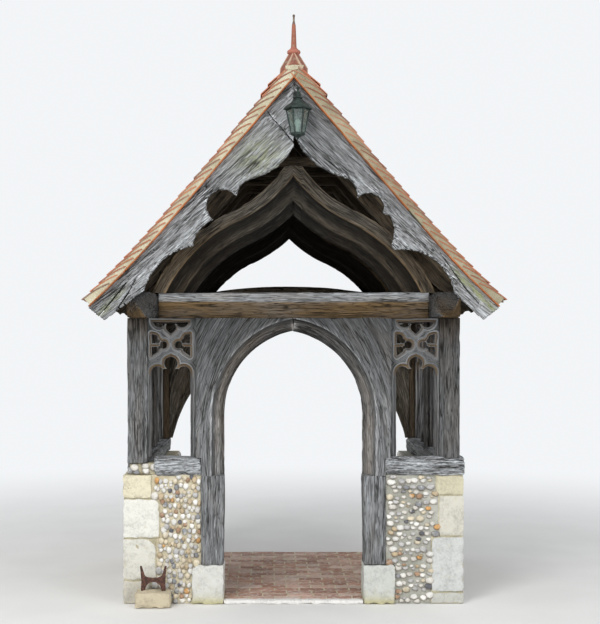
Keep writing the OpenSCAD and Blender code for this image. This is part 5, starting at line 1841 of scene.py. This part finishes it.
def make_lamp(name, place, target, power, colour):
    """A round soft lamp that shines from a place towards a target."""
    data = bpy.data.lights.new(name, "AREA")
    data.shape, data.size, data.energy, data.color = "DISK", LAMP_SIZE, power, colour
    lamp = bpy.data.objects.new(name, data)
    lamp.location = place
    aim = np.array(target) - np.array(place)
    lamp.rotation_euler = mathutils.Vector(aim).to_track_quat("-Z", "Y").to_euler()
    bpy.context.scene.collection.objects.link(lamp)


def make_world():
    """An even pale background for what is seen, and a softer grey light on the porch."""
    world = bpy.data.worlds.new("world")
    bpy.context.scene.world = world
    world.use_nodes = True
    g = Graph(world.node_tree)
    background = g.tree.nodes["Background"]
    g.feed(background.inputs["Strength"], g.stretch(g.seen(), 0, 1, SKY_LIGHT, BACKDROP_LIGHT))
    g.feed(background.inputs["Color"], BACKDROP)


def make_floor():
    """A pale ground that fades into the background."""
    mesh = bpy.data.meshes.new("floor")
    half, fade_start, fade_end = 40, 2.5, 11.0
    corners = [(-half, -half, 0), (half, -half, 0), (half, half, 0), (-half, half, 0)]
    mesh.from_pydata(corners, [], [(0, 1, 2, 3)])
    g = Material("floor", 0.9, 0.1)
    place = g.place()
    soft = g.noise(place, 1.5, 2)
    mesh.materials.append(g.finish(g.ramp(soft, (0.3, (0.84, 0.835, 0.82)), (0.7, (0.88, 0.875, 0.86)))))
    distance = g.vector("LENGTH", place, output="Value")
    far = g.times(g.seen(), g.stretch(distance, fade_start, fade_end, interpolation_type="SMOOTHSTEP"))
    glow = g.node("ShaderNodeEmission", {"Color": BACKDROP, "Strength": BACKDROP_LIGHT}, 0)
    blend = g.node("ShaderNodeMixShader", {0: far, 1: g.shader.outputs[0], 2: glow}, 0)
    g.feed(g.tree.nodes["Material Output"].inputs["Surface"], blend)
    floor = bpy.data.objects.new("floor", mesh)
    floor.location.z = -0.002
    bpy.context.scene.collection.objects.link(floor)


make_camera()
make_world()
make_floor()
make_lamp("key", place=(-4.5, -9, 8), target=(0, 0, 2.2), power=620, colour=(1, 0.99, 0.97))
make_lamp("fill", place=(6, -8, 4), target=(0, 0, 2), power=240, colour=(0.97, 0.98, 1))

make_posts()
make_sills()
make_plates()
make_ties()
make_door_arches()
make_rear_arches()
make_ogee_braces()
make_rafters()
make_bargeboards()
make_tracery()
make_tiles()
make_ridge()
make_walls()
make_stones()
make_paving()
make_lantern()
make_finial()
make_scraper()

scene = bpy.context.scene
scene.view_settings.view_transform = "Standard"
